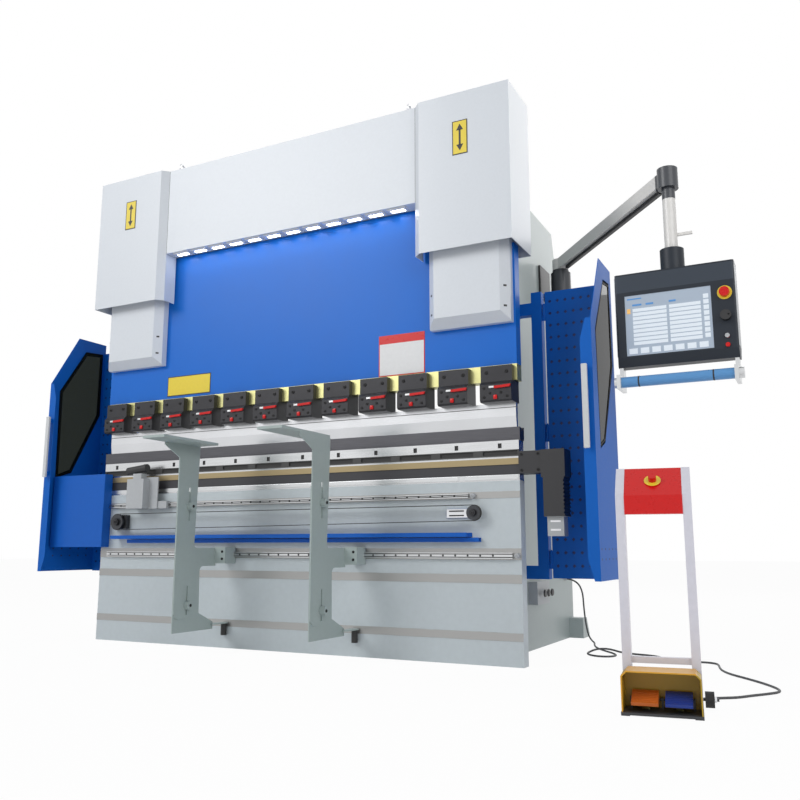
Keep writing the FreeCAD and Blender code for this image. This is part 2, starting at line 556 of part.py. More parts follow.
def belt_drive():
    """The toothed belt that draws the sensor along, its two pulleys and the tray below it."""
    near, far = "-belt_y - belt_wide / 2", "-belt_y + belt_wide / 2"
    belt = body_of("drive_belt")
    belt_loop(belt, "belt_outside", "belt_thick", near, far, "PartDesign::Pad")
    belt.Tip = belt_loop(belt, "belt_inside", "0", near, far, "PartDesign::Pocket")
    node("drive_belt", belt)
    back = BAND_FRONT
    wheels = []
    for name, x, z, radius in (("left", "-belt_left", "pulley_left_z", "pulley_left_radius"),
                               ("right", "belt_right", "pulley_right_z", "pulley_right_radius")):
        rim = rod("pulley_rim_" + name, "Y", (x, near, z), "belt_wide", radius + " - fit_gap")
        shaft = rod("pulley_shaft_" + name, "Y", (x, near + " - 8", z), back + " + belt_y + belt_wide / 2 + 8", "12")
        wheels.append(fuse("pulley_" + name, rim, shaft))
    motor = box("belt_motor", ("-belt_left - 45", "-belt_left + 50"), (far + " + 4", BED_FRONT),
                ("pulley_left_z - 38", "pulley_left_z + 38"))
    wheels[0] = fuse("belt_motor_unit", wheels[0], motor)
    node("belt_pulleys", group("pulley_pair", *wheels))
    plate = box("tension_plate", ("belt_right - 145", "belt_right - 40"), (BED_FRONT + " - 8", BED_FRONT),
                ("pulley_right_z - 20", "pulley_right_z + 20"))
    top = "tray_low + tray_height"
    tray = body_of("tray_channel")
    channel = [(BED_FRONT, "tray_low"), (BED_FRONT, top), (BED_FRONT + " - 3", top),
               (BED_FRONT + " - 3", "tray_low + 3"), ("3 - tray_front", "tray_low + 3"), ("3 - tray_front", top),
               ("-tray_front", top), ("-tray_front", "tray_low")]
    tray.Tip = pad(tray, "tray_section", "YZ", [channel], "-tray_left", "tray_right")
    lip = body_of("tray_lip")
    angle = [(BED_FRONT, "lip_low"), (BED_FRONT, "lip_low + 19"), ("-lip_front", "lip_low + 19"),
             ("-lip_front", "lip_low"), ("3 - lip_front", "lip_low"), ("3 - lip_front", "lip_low + 16"),
             (BED_FRONT + " - 3", "lip_low + 16"), (BED_FRONT + " - 3", "lip_low")]
    lip.Tip = pad(lip, "lip_section", "YZ", [angle], "-lip_left", "lip_right")
    return node("belt_tray", group("tray_parts", tray, lip, plate))


def sensor():
    """The angle sensor's carriage: a slide block that grips the rail, a plate, a box and a camera."""
    left = "-sensor_left"
    back, face = BAND_FRONT + " - 5", "-sensor_plate_front"
    low = "sensor_low"
    block = box("slide_block", (left, left + " + sensor_block_long"), (face, back),
                (low, low + " + sensor_block_height"))
    groove = box("rail_groove", (left + " - 1", left + " + sensor_block_long + 1"),
                 (BAND_FRONT + " - rail_thick - fit_gap", back + " + 1"),
                 ("rail_up_low - fit_gap", "rail_up_low + rail_up_height + fit_gap"))
    plate = box("sensor_plate", (left, left + " + sensor_plate_long"), (face + " - 8", face),
                (low, low + " + sensor_plate_height"))
    case = box("sensor_case", (left, left + " + sensor_box_long"), ("-sensor_front", face + " - 8"),
               (low, low + " + sensor_box_height"))
    bracket = box("camera_bracket", (left + " + 30", left + " + 90"), ("-sensor_front + 12", face),
                  (low + " + sensor_plate_height - 20", low + " + sensor_plate_height + 20"))
    grip = fuse("sensor_mass", cut("slide_block_grooved", block, groove), plate, case, bracket)
    node("sensor_carriage", grip)
    camera = doc.addObject("Part::Cylinder", "sensor_camera_tube")
    camera.Placement = Placement(Vector(), Rotation(Vector(0, 1, 0), 84))
    bind(camera, Radius="camera_radius", Height="camera_long")
    put(camera, left + " - 22", "-sensor_front + camera_radius + 8",
        low + " + sensor_plate_height + 15 + camera_radius")
    return node("sensor_camera", camera)


def support_arm(name, web, table_near, table_far):
    """A front sheet support: arm on the lower rail, slider for its height, and the table."""
    face = web + " + fit_gap"
    slider_far = face + " + slider_thick"
    arm = body_of("arm_" + name)
    outline = [("-arm_front", "arm_low"), ("-arm_front", "arm_top"), ("-arm_back", "arm_top"),
               ("-arm_back", "branch_high"), ("-branch_tip", "branch_high"), ("-branch_tip", "branch_low"),
               ("-arm_root", "branch_low"), ("-arm_foot_back", "arm_foot_high"), ("-foot_tip", "foot_high"),
               ("-foot_tip", "arm_low")]
    slab = pad(arm, "arm_plate_" + name, "YZ", [outline], web + " - arm_thick", web)
    bends = [(-size("arm_back"), size("branch_high")), (-size("arm_root"), size("branch_low"))]

    def inner_corner(edge):
        return any(edge_at("x", y, z)(edge) for y, z in bends)
    arm.Tip = round_edges(arm, "arm_bend_" + name, slab, "25", inner_corner)
    rail_face = BAND_FRONT + " - rail_thick - fit_gap"
    block_x = (web, web + " + block_long")
    block = box("rail_block_" + name, block_x, ("-block_front", BAND_FRONT + " - 4"),
                ("block_low", "block_low + block_height"))
    groove = box("rail_block_groove_" + name, (web + " - 1", web + " + block_long + 1"),
                 (rail_face, BAND_FRONT + " + 1"),
                 ("rail_lo_low - fit_gap", "rail_lo_low + rail_lo_height + fit_gap"))
    foot_shelf = box("roller_shelf_" + name, (web + " - arm_thick", web + " + 34"),
                     ("-foot_tip - 20", BAND_FRONT + " - 6"),
                     ("foot_high - 12", "foot_high - 6"))
    roller_y = BAND_FRONT + " - fit_gap - roller_wide / 2"
    pin = rod("roller_pin_" + name, "Z", (web + " + 17", roller_y, "roller_z - roller_radius"),
              "foot_high - 9 - roller_z + roller_radius", "4")
    knobs = []
    for index, (y, z) in enumerate((("knob_upper_y", "knob_upper_z"), ("knob_lower_y", "knob_lower_z"))):
        stud = rod("knob_stud_%s_%d" % (name, index), "X", (web, "-" + y, z), "slider_thick + 2 * fit_gap", "5")
        head = rod("knob_head_%s_%d" % (name, index), "X", (slider_far + " + fit_gap", "-" + y, z), "26",
                   "knob_radius")
        knobs += [stud, head]
    solid = fuse("arm_unit_" + name, arm, cut("rail_block_cut_" + name, block, groove), foot_shelf, pin, *knobs)
    wheel = rod("roller_tyre_" + name, "Z", (web + " + 17", roller_y, "roller_z - roller_radius"),
                "foot_high - 12 - fit_gap - roller_z + roller_radius", "roller_wide / 2")
    bore = rod("roller_bore_" + name, "Z", (web + " + 17", roller_y, "roller_z - roller_radius - 1"),
               "2 * roller_radius + 40", "4 + fit_gap")
    node("support_arm_" + name, group("arm_and_roller_" + name, solid, cut("roller_ring_" + name, wheel, bore)))
    slider = body_of("slider_" + name)
    front, back = "-slider_front", "-slider_back"
    plate = [(front, "slider_low"), (front, "slider_top"), (front + " - 106", "slider_peak"),
             (front + " - 106", "table_z"), (back, "table_z"), ("-arm_back", "branch_high + 38"),
             ("-arm_back", "slider_low")]
    blade = pad(slider, "slider_plate_" + name, "YZ", [plate], face, slider_far)
    slots = [rectangle(("-knob_upper_y - 6", "-knob_upper_y + 6"), ("knob_upper_z - 70", "knob_upper_z + 92")),
             rectangle(("-knob_lower_y - 6", "-knob_lower_y + 6"), ("knob_lower_z - 45", "knob_lower_z + 92"))]
    slotted = pocket(slider, "slider_slots_" + name, "YZ", slots, face, slider_far)
    ends = [(-size("slider_front"), size("slider_low")), (-size("arm_back"), size("slider_low"))]

    def low_corner(edge):
        return any(edge_at("x", y, z)(edge) for y, z in ends)
    slider.Tip = round_edges(slider, "slider_end_" + name, slotted, "45", low_corner)
    table = box("table_top_" + name, (table_near, table_far), ("-table_reach", "-table_near"),
                ("table_z", "table_z + table_thick"))
    return node("support_slider_" + name, fuse("slider_and_table_" + name, slider, table))


def side_guard(name, side):
    """The swinging guard: a windowed side panel with a front flange, and a perforated tool board."""
    near, far = span(side, "guard_out - sheet_thick", "guard_out")
    panel = body_of("guard_panel_body_" + name)
    front, back = "-guard_front", "guard_back"
    outline = [(front, "guard_low"), (front, "guard_cut_z"), ("guard_cut_y", "guard_top"), (back, "guard_top"),
               (back, "guard_low")]
    pad(panel, "panel_sheet_" + name, "YZ", [outline], near, far)
    flange = [("guard_out", "guard_low"), ("guard_out", "guard_cut_z"), ("guard_out - flange_wide / 2", "guard_cut_z"),
              ("guard_out - flange_wide", "guard_cut_z - 90"), ("guard_out - flange_wide", "guard_low + 90"),
              ("guard_out - flange_wide / 2", "guard_low")]
    pad(panel, "front_flange_" + name, "XZ", [[("%d * (%s)" % (side, x), z) for x, z in flange]],
        front, front + " + sheet_thick")
    panel.Tip = pocket(panel, "window_hole_" + name, "YZ", [window_outline("0")], near, far)
    grip = box("guard_grip_" + name, span(side, "guard_out - 42", "guard_out - 18"), (front + " - 30", front + " - 18"),
               ("handle_low", "handle_high"))
    legs = [box("guard_grip_leg_%s_%d" % (name, index), span(side, "guard_out - 36", "guard_out - 24"),
                (front + " - 18", front), (low, low + " + 24"))
            for index, low in enumerate(("handle_low + 10", "handle_high - 34"))]
    node("guard_panel_" + name, fuse("guard_panel_unit_" + name, panel, grip, *legs))
    pane = body_of("guard_pane_body_" + name)
    pane.Tip = pad(pane, "pane_sheet_" + name, "YZ", [window_outline("-14")],
                   *span(side, "guard_out - sheet_thick - 5", "guard_out - sheet_thick"))
    node("guard_window_" + name, pane)
    board = doc.addObject("Part::Feature", "peg_board_" + name)
    board.Shape = perforated_board(side)
    hinge = "%d * hinge_x" % side
    hinge_y = "guard_back - sheet_thick / 2"
    knuckles, pins = [], []
    for index, low in enumerate(("guard_low + 60", "(guard_low + peg_top) / 2 - knuckle_long / 2",
                                 "peg_top - 60 - knuckle_long")):
        tag = "%s_%d" % (name, index)
        knuckle = rod("knuckle_" + tag, "Z", (hinge, hinge_y, low), "knuckle_long", "hinge_radius")
        bore = rod("knuckle_bore_" + tag, "Z", (hinge, hinge_y, low + " - 1"), "knuckle_long + 2",
                   "pin_radius + 0.05")
        knuckles.append(cut("knuckle_ring_" + tag, knuckle, bore))
        base = rod("knuckle_base_" + tag, "Z", (hinge, hinge_y, low + " - 22"), "22 - fit_gap", "base_radius")
        pin = rod("hinge_pin_" + tag, "Z", (hinge, hinge_y, low + " - 22"), "knuckle_long + 26", "pin_radius")
        bridge = box("hinge_bridge_" + tag, span(side, "post_in + post_wide - 4", "hinge_x"),
                     (hinge_y + " - 5", hinge_y + " + 5"), (low + " - 22", low + " - fit_gap"))
        pins += [base, pin, bridge]
    node("tool_board_" + name, fuse("tool_board_unit_" + name, board, *knuckles))
    post = box("guard_post_bar_" + name, span(side, "post_in", "post_in + post_wide"),
               ("guard_back - 20", "guard_back + 25"), ("post_low", "post_top"))
    reach = span(side, "frame_gap / 2 + frame_thick", "post_in")
    arms = [box("guard_post_arm_%s_%d" % (name, index), reach, ("guard_back - 20", "guard_back + 25"),
                (low, low + " + 60"))
            for index, low in enumerate(("post_low", "throat_top + 120"))]
    return fuse("guard_post_unit_" + name, post, *arms, *pins)


def window_outline(shrink):
    """The slanted window of a side guard; a negative shrink gives the larger pane behind it."""
    return [("108 - (%s) * -0.6" % shrink, "1695 - (%s)" % shrink), ("218 - (%s)" % shrink, "1706 - (%s)" % shrink),
            ("222 - (%s)" % shrink, "1326"), ("30 - (%s) * 0.8" % shrink, "960 + (%s) * 0.8" % shrink),
            ("-56 + (%s)" % shrink, "925 + (%s)" % shrink), ("-66 + (%s)" % shrink, "1430")]


def perforated_board(side):
    """A sheet with a rim folded back and rows of diamond holes on the board's own pitch."""
    inner, outer = size("hinge_x") + size("hinge_radius") - 1.5, size("guard_out") - size("sheet_thick")
    low, high = size("guard_low") - 5, size("peg_top")
    thick, half, back = size("sheet_thick"), size("peg_half"), size("guard_back")
    pitch, rise = size("peg_pitch"), size("peg_pitch_z")
    columns = int((outer - inner - 2 * size("peg_rim")) / pitch) + 1
    rows = int((high - low - 2 * size("peg_rim") - half) / rise) + 1
    start = (inner + outer - (columns - 1) * pitch) / 2

    def ring(points):
        corners = [Vector(side * x, back - thick, z) for x, z in points]
        return Part.makePolygon(corners + [corners[0]])
    outline = [(inner, low), (outer, low), (outer, high), (inner, high)]
    diamonds = []
    for column in range(columns):
        for row_number in range(rows):
            x, z = start + column * pitch, high - size("peg_rim") - half - 15 - row_number * rise
            diamonds.append([(x - half, z), (x, z - half), (x + half, z), (x, z + half)])
    sheet_face = Part.Face([ring(outline)] + [ring(points) for points in diamonds])
    sheet_face.validate()
    return sheet_face.extrude(Vector(0, thick, 0))


def bed_box():
    """The folded cabinet on the bed's left end, beside the rails."""
    body = body_of("bed_box_body")
    plan = [("-box_left", "-box_front"), ("-box_right", "-box_front"), ("-box_right", BAND_FRONT),
            ("-box_left", BAND_FRONT)]
    shell = pad(body, "bed_box_block", "XY", [plan], "box_low", "box_low + box_height")

    def upright(edge):
        return any(edge_at("z", x, -size("box_front"))(edge) for x in (-size("box_left"), -size("box_right")))
    body.Tip = round_edges(body, "bed_box_fold", shell, "4", upright)
    return node("bed_box", body)


def crowning_motor():
    """The gearmotor at the table's right end: gearbox, finned motor with a narrower lower part, plug."""
    left = "bend_length / 2"
    middle = left + " + gear_long"
    right = middle + " + motor_long"
    gear = box("gear_case", (left, middle), ("-motor_half + 8", "motor_half - 8"),
               ("gear_low", "gear_low + gear_height"))
    body = body_of("motor_body")
    outline = [(middle, "motor_top"), (middle, "motor_top - 121"), (middle + " + 8", "motor_top - 121"),
               (middle + " + 8", "motor_low"), (right + " - 6", "motor_low"), (right + " - 6", "motor_top - 121"),
               (right, "motor_top - 121"), (right, "motor_top")]
    case = pad(body, "motor_case", "XZ", [outline], "-motor_half", "motor_half")
    fins = []
    for index in range(9):
        low = "motor_low + 12 + %d * 17" % index
        fins.append(rectangle((right + " - 10", right + " + 1"), (low, low + " + 8")))
    body.Tip = pocket(body, "motor_fins", "XZ", fins, "-motor_half - 1", "motor_half + 1")
    plug = box("motor_plug", (middle + " + 17", middle + " + 17 + plug_long"), ("-30", "30"), ("plug_low", "motor_low"))
    return node("crowning_motor", fuse("motor_unit", gear, body, plug))


def pendant():
    """The swinging pendant: wall bracket, drum, arm and drop tube, console with screen and handle."""
    frame_out = "frame_gap / 2 + frame_thick"
    bracket = box("pendant_plate", (frame_out, frame_out + " + 12"), ("drum_y - 90", "drum_y + 90"),
                  ("drum_low - 30", "drum_low + drum_height + 40"))
    shelf = box("pendant_shelf", (frame_out, "drum_x - drum_radius + 20"), ("drum_y - 45", "drum_y + 45"),
                ("drum_low - 20", "drum_low - fit_gap"))
    seat = rod("pendant_seat", "Z", ("drum_x", "drum_y", "drum_low - 20"), "20 - fit_gap", "drum_radius - 4")
    node("pendant_bracket", fuse("pendant_mount", bracket, shelf, seat))
    drum = rod("pendant_drum", "Z", ("drum_x", "drum_y", "drum_low"), "drum_height", "drum_radius")
    tube = doc.addObject("Part::Box", "pendant_tube")
    reach_x, reach_y = "(drop_x - drum_x)", "(drop_y - drum_y)"
    bind(tube, Length="sqrt(%s * %s + %s * %s)" % (reach_x, reach_x, reach_y, reach_y),
         Width="2 * arm_tube_half", Height="2 * arm_tube_half")
    lean = math.degrees(math.atan2(size("drop_y") - size("drum_y"), size("drop_x") - size("drum_x")))
    tube.Placement = Placement(Vector(), Rotation(Vector(0, 0, 1), lean))
    side_x = size("arm_tube_half") * math.sin(math.radians(lean))
    side_y = size("arm_tube_half") * math.cos(math.radians(lean))
    put(tube, "drum_x + %.6f" % side_x, "drum_y - %.6f" % side_y, "arm_tube_z - arm_tube_half")
    neck = rod("pendant_neck", "Z", ("drum_x", "drum_y", "drum_low + drum_height"),
               "arm_tube_z + arm_tube_half - drum_low - drum_height", "drum_radius - 10")
    elbow = rod("pendant_elbow", "Z", ("drop_x", "drop_y", "arm_tube_z - 50"), "arm_tube_half + 62",
                "arm_tube_half + 14")
    drop = rod("pendant_drop", "Z", ("drop_x", "drop_y", "hub_top + fit_gap"), "arm_tube_z - 50 - hub_top - fit_gap",
               "drop_radius")
    lever = box("brake_lever", ("drop_x + drop_radius - 4", "drop_x + drop_radius + 62"), ("drop_y - 6", "drop_y + 6"),
                ("hub_top + 60", "hub_top + 72"))
    node("pendant_arm", fuse("pendant_arm_unit", drum, tube, neck, elbow, drop, lever))
    hub = rod("console_hub", "Z", ("drop_x", "drop_y", "hub_low"), "hub_top - hub_low", "hub_radius")
    body = body_of("console_body")
    back = "console_front + console_deep"
    outline = [("console_front + 12", "console_low"), ("console_front", "console_low + 40"),
               ("console_front", "hub_low"), (back, "hub_low"), (back, "console_low + 60"),
               (back + " - 30", "console_low")]
    case = pad(body, "console_case", "YZ", [outline], "console_left", "console_right")

    def upright(edge):
        return any(edge_at("z", x, size("console_front"), 2.0)(edge)
                   for x in (size("console_left"), size("console_right")))
    rounded = round_edges(body, "console_corner", case, "9", upright)
    screen = ("screen_left", "screen_left + screen_wide"), ("screen_low", "screen_low + screen_high")
    body.Tip = pocket(body, "screen_recess", "XZ", [rectangle(*screen)], "console_front", "console_front + 6")
    node("pendant_console", fuse("console_unit", body, hub))
    node("console_screen", box("screen_glass", screen[0], ("console_front + 2", "console_front + 6"), screen[1]))
    stop = rod("emergency_stop", "Y", ("knob_x", "console_front - 24", "hub_low - stop_drop"), "24", "20")
    buttons = [rod("console_button_" + drop, "Y", ("knob_x", "console_front - button_out", "hub_low - " + drop),
                   "button_out", "button_radius") for drop in ("grey_drop", "red_drop")]
    node("console_buttons", group("button_set", stop, *buttons))
    dial = rod("jog_dial", "Y", ("knob_x", "console_front - 26 - fit_gap", "knob_z"), "26", "21")
    dimple = rod("jog_dimple", "Y", ("knob_x + 12", "console_front - 27 - fit_gap", "knob_z"), "6", "4")
    node("jog_knob", cut("jog_knob_turned", dial, dimple))
    bar = rod("handle_bar", "X", ("console_left - 8", "handle_y", "handle_z"), "console_right - console_left + 23",
              "handle_radius")
    ends = []
    for index, x in enumerate(("console_left + 4", "console_right - 20")):
        ends.append(box("handle_plate_%d" % index, (x, x + " + 16"), ("handle_y - 30", "console_front + 60"),
                        ("handle_z - 30", "handle_z + 30")))
        ends.append(box("handle_hanger_%d" % index, (x, x + " + 16"), ("console_front + 14", "console_front + 60"),
                        ("handle_z - 30", "console_low")))
    return node("console_handle", fuse("handle_unit", bar, *ends))


def stand_place(shape):
    """Sets a shape made about the stand's front edge onto the floor, turned as it stands."""
    spot = Placement(Vector(), Rotation(Vector(0, 0, 1), size("stand_turn")))
    shape.Placement = spot.multiply(shape.Placement)
    return put(shape, "stand_x", "stand_y", "0")


def pedal_stand():
    """The floor stand: base, hood, two posts bent back, stop box, two pedals and a wheel."""
    base = body_of("stand_base_plate")
    half = "stand_wide / 2"
    low, top = "stand_floor", "stand_floor + stand_plate"
    plan = [("-" + half, "0"), (half, "0"), (half, "stand_deep"), ("-" + half, "stand_deep")]
    base.Tip = pad(base, "stand_plate_pad", "XY", [plan], low, top)
    feet = [box("stand_foot_%d" % index, (x, x + " + 26"), (y, y + " + 26"), ("0", low))
            for index, (x, y) in enumerate((("-" + half, "4"), (half + " - 26", "4"),
                                            ("-" + half, "stand_deep - 30"), (half + " - 26", "stand_deep - 30")))]
    axle = rod("wheel_axle", "X", ("-" + half + " - 4", "stand_deep + 6", "stand_floor + wheel_radius"),
               "stand_wide + 24 + wheel_wide", "5")
    gland = rod("stand_gland", "Y", ("gland_x", "stand_deep - 14", "gland_z"), "26", "9")
    lugs = [box("wheel_lug_%d" % index, (x, x + " + 8"), ("stand_deep - 12", "stand_deep + 16"),
                (low, "stand_floor + wheel_radius + 9")) for index, x in enumerate(("-" + half, half + " - 8"))]
    stand_base = fuse("stand_base_unit", base, axle, gland, *feet, *lugs)
    hood = body_of("stand_hood_body")
    arch = [("2 - " + half, top), ("2 - " + half, "hood_height - 16"), ("18 - " + half, "hood_height"),
            (half + " - 18", "hood_height"), (half + " - 2", "hood_height - 16"), (half + " - 2", top)]
    hollow = [("6 - " + half, top), ("6 - " + half, "hood_height - 18"), ("20 - " + half, "hood_height - 4"),
              (half + " - 20", "hood_height - 4"), (half + " - 6", "hood_height - 18"), (half + " - 6", top)]
    pad(hood, "hood_arch", "XZ", [arch], "4", "stand_post_y - 12")
    hood.Tip = pocket(hood, "hood_mouth", "XZ", [hollow], "3", "stand_post_y - 16")
    node("stand_hood", stand_place(hood))
    posts = []
    for name, side in SIDES:
        post = body_of("stand_post_" + name)
        x = span(side, "stand_post_x", "stand_post_x + stand_post_wide")
        y_low, y_high = "stand_post_y", "stand_post_y + stand_post_deep"
        outline = [(y_low, top), (y_low, "stand_post_z"), (y_low + " + slope_rise", "stand_post_z + slope_rise"),
                   (y_high + " + slope_rise - 15", "stand_post_z + slope_rise - 36"), (y_high, "stand_post_z - 21"), (y_high, top)]
        post.Tip = pad(post, "stand_post_section_" + name, "YZ", [outline], *x)
        posts.append(post)
    bar = box("stand_bar", ("-stand_post_x", "stand_post_x"), ("stand_post_y + 8", "stand_post_y + 30"),
              ("140", "160"))
    node("stand_posts", stand_place(fuse("stand_post_pair", bar, *posts)))
    case = body_of("stop_box_body")
    outline = [("stand_post_y - 2", "stand_post_z - 67"), ("stand_post_y - 2", "stand_post_z - 5"),
               ("stand_post_y + slope_rise + 2", "stand_post_z + slope_rise - 1"),
               ("stand_post_y + slope_rise + 20", "stand_post_z + slope_rise - 20"),
               ("stand_post_y + 40", "stand_post_z - 30"), ("stand_post_y + 40", "stand_post_z - 67")]
    case.Tip = pad(case, "stop_box_section", "YZ", [outline], "-stand_post_x", "stand_post_x")
    node("stop_box", stand_place(case))
    button = doc.addObject("Part::Cylinder", "stop_button")
    button.Placement = Placement(Vector(), Rotation(Vector(1, 0, 0), 45))
    bind(button, Radius="13", Height="24")
    put(button, "0", "stand_post_y + slope_rise / 2", "stand_post_z + slope_rise / 2 - 3")
    disc = doc.addObject("Part::Cylinder", "stop_disc")
    disc.Placement = Placement(Vector(), Rotation(Vector(1, 0, 0), 45))
    bind(disc, Radius="27", Height="4")
    put(disc, "0", "stand_post_y + slope_rise / 2", "stand_post_z + slope_rise / 2 - 3")
    node("stop_button", stand_place(fuse("stop_button_unit", button, disc)))
    for name, side in SIDES:
        pedal = body_of("pedal_body_" + name)
        outline = [("14", "pedal_low"), ("10", "pedal_low + 10"), ("stand_post_y - 34", "pedal_low + 34"),
                   ("stand_post_y - 26", "pedal_low + 34"), ("stand_post_y - 26", "pedal_low")]
        x = ("%d * pedal_x - pedal_wide / 2" % side, "%d * pedal_x + pedal_wide / 2" % side)
        tread = pad(pedal, "pedal_tread_" + name, "YZ", [outline], *x)
        ribs = []
        for index in range(6):
            start = "20 + %d * 11" % index
            floor = "pedal_low + 10 + (10 + %d * 11) * 0.27" % index
            ribs.append([(start, "90"), (start + " + 4", "90"), (start + " + 4", floor), (start, floor)])
        pedal.Tip = pocket(pedal, "pedal_ribs_" + name, "YZ", ribs, *x)
        bearing = rod("pedal_bore_" + name, "X", (x[0] + " - 1", "stand_post_y - 34", "pedal_pin_z"), "pedal_wide + 2",
                      "4 + 0.05")
        node("pedal_" + name, stand_place(cut("pedal_bored_" + name, pedal, bearing)))
    hinge = rod("pedal_pin", "X", ("-pedal_x - pedal_wide / 2 - 4", "stand_post_y - 34", "pedal_pin_z"),
                "2 * pedal_x + pedal_wide + 8", "4")
    lugs = [box("pedal_lug_%d" % index, (x, x + " + 6"), ("stand_post_y - 42", "stand_post_y - 26"), (top, "pedal_pin_z + 6"))
            for index, x in enumerate(("-pedal_x - pedal_wide / 2 - 7", "-3", "pedal_x + pedal_wide / 2 + 1"))]
    node("stand_base", stand_place(fuse("stand_base_hinged", stand_base, hinge, *lugs)))
    wheel = rod("wheel_tyre", "X", (half + " + 6", "stand_deep + 6", "stand_floor + wheel_radius"), "wheel_wide",
                "wheel_radius")
    hole = rod("wheel_bore", "X", (half + " + 5", "stand_deep + 6", "stand_floor + wheel_radius"), "wheel_wide + 2",
               "5 + 0.05")
    return node("stand_wheel", stand_place(cut("wheel_ring", wheel, hole)))


CABLE_POINTS = [
    (1101.6, 1180, 330), (1150, 1180, 324), (1187, 1184, 270), (1190, 1188, 172), (1198, 1186, 88),
    (1216, 1166, 26), (1248, 1112, 5), (1290, 1008, 5), (1318, 888, 5), (1360, 780, 5), (1418, 690, 5),
    (1478, 612, 5), (1512, 539, 5), (1502, 486, 5), (1456, 462, 5), (1406, 484, 5), (1374, 530, 5),
    (1364, 586, 6), (1396, 628, 20), (1452, 640, 22), (1520, 634, 6), (1590, 622, 5), (1656, 606, 5),
    (1708, 566, 5), (1738, 504, 5), (1756, 440, 5), (1799, 414, 5), (1848, 424, 5), (1877, 465, 5),
    (1926, 474, 5), (1967, 445, 5), (1981, 391, 5), (1994, 304, 5), (2018, 216, 5), (2058, 138, 5),
    (2136, 36, 5), (2204, -70, 5), (2246, -160, 5), (2252, -222, 5), (2216, -280, 5), (2168, -344, 5),
    (2130, -404, 5), (2084, -436, 5), (2036, -474, 5), (2012, -556, 11), (2024.9, -629.2, 18),
]


def cable_path(points):
    """Straight runs joined by tangent arcs, each as large as its two runs allow."""
    corners = [Vector(*point) for point in points]
    edges, radii = [], []
    start = corners[0]
    for before, corner, after in zip(corners, corners[1:], corners[2:]):
        into, out = (before - corner).normalize(), (after - corner).normalize()
        half_turn = (math.pi - into.getAngle(out)) / 2
        reach = 0.45 * min(before.distanceToPoint(corner), corner.distanceToPoint(after))
        radii.append(reach / math.tan(half_turn))
        first, last = corner + into * reach, corner + out * reach
        inward = (into + out).normalize()
        middle = corner + inward * (radii[-1] / math.cos(half_turn) - radii[-1])
        edges.append(Part.LineSegment(start, first).toShape())
        edges.append(Part.Arc(first, middle, last).toShape())
        start = last
    edges.append(Part.LineSegment(start, corners[-1]).toShape())
    return Part.Wire(edges), radii


def outlets():
    """The socket block and the cable outlet on the right frame's outer face."""
    face = "frame_gap / 2 + frame_thick"
    block = box("socket_block", (face, face + " + 45"), ("550", "750"), ("223", "335"))
    gland = rod("outlet_gland", "X", (face, "outlet_y", "outlet_z"), "gland_end", "9")
    return node("frame_outlets", group("outlet_pair", block, gland))


def cable():
    """The pedal stand's cable: out of a gland on the right frame, down and along the floor."""
    path, radii = cable_path(CABLE_POINTS)
    start, heading = Vector(*CABLE_POINTS[0]), Vector(*CABLE_POINTS[1]) - Vector(*CABLE_POINTS[0])
    ring = Part.Wire(Part.Circle(start, heading, size("cable_radius")).toShape())
    tube = doc.addObject("Part::Feature", "cable_tube")
    tube.Shape = path.makePipeShell([ring], True, False)
    area = math.pi * size("cable_radius") ** 2
    print("cable length %.0f mm, smallest arcs %s" % (path.Length, [round(value) for value in sorted(radii)[:6]]))
    print("cable volume over section times length: %.4f" % (tube.Shape.Volume / area / path.Length))
    return node("pedal_cable", tube)


bed_plate()
crowning_table()
lower_die()
for place, sign in SIDES:
    side_frame(place, sign)
for pair_name, make in (("cylinders", cylinder), ("upper_covers", upper_cover), ("ram_covers", ram_cover),
                        ("guard_posts", side_guard)):
    node(pair_name, group(pair_name + "_pair", *[make(place, sign) for place, sign in SIDES]))
cross_beams()
oil_tank()
fascia()
lifting_eyes()
ram()
tooling()
bed_rails()
belt_drive()
sensor()
bed_box()
crowning_motor()
support_arm("left", "arm_left_x", "arm_left_x - 9", "arm_left_x - 9 + table_wide")
support_arm("right", "arm_right_x", "arm_right_x + fit_gap + slider_thick - table_wide",
            "arm_right_x + fit_gap + slider_thick")
pendant()
pedal_stand()
outlets()
cable()

doc.recompute()
faults = [thing.Name for thing in doc.Objects if {"Invalid", "Error"} & set(thing.State)]
faults += [name for name, thing in NODES.items() if thing.Shape.isNull() or not thing.Shape.isValid()]
if faults:
    raise RuntimeError("failed: " + ", ".join(faults))
os.makedirs("parts", exist_ok=True)
for name, thing in NODES.items():
    thing.Shape.exportStep("parts/%s.step" % name)
print("%d pieces written" % len(NODES))
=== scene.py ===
import math

import bmesh
import bpy
from mathutils import Matrix, Vector

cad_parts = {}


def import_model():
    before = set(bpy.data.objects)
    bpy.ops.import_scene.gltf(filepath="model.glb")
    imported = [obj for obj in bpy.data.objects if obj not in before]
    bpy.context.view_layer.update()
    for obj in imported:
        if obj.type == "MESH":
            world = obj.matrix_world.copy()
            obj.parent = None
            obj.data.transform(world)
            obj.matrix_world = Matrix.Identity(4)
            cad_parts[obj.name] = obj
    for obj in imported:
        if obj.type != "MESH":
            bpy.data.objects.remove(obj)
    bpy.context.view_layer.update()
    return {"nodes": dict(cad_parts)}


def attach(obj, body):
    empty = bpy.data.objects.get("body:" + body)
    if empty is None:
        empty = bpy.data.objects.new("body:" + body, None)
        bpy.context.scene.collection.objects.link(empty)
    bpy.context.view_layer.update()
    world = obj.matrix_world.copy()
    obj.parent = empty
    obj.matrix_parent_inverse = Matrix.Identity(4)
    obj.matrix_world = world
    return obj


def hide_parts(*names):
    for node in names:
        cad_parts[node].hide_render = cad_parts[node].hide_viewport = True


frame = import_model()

nodes = frame["nodes"]

# Hydraulic press brake: finishes, small parts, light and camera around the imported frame.
# Metres, X along the bend, the operator at -Y, Z up, the floor at Z = 0.

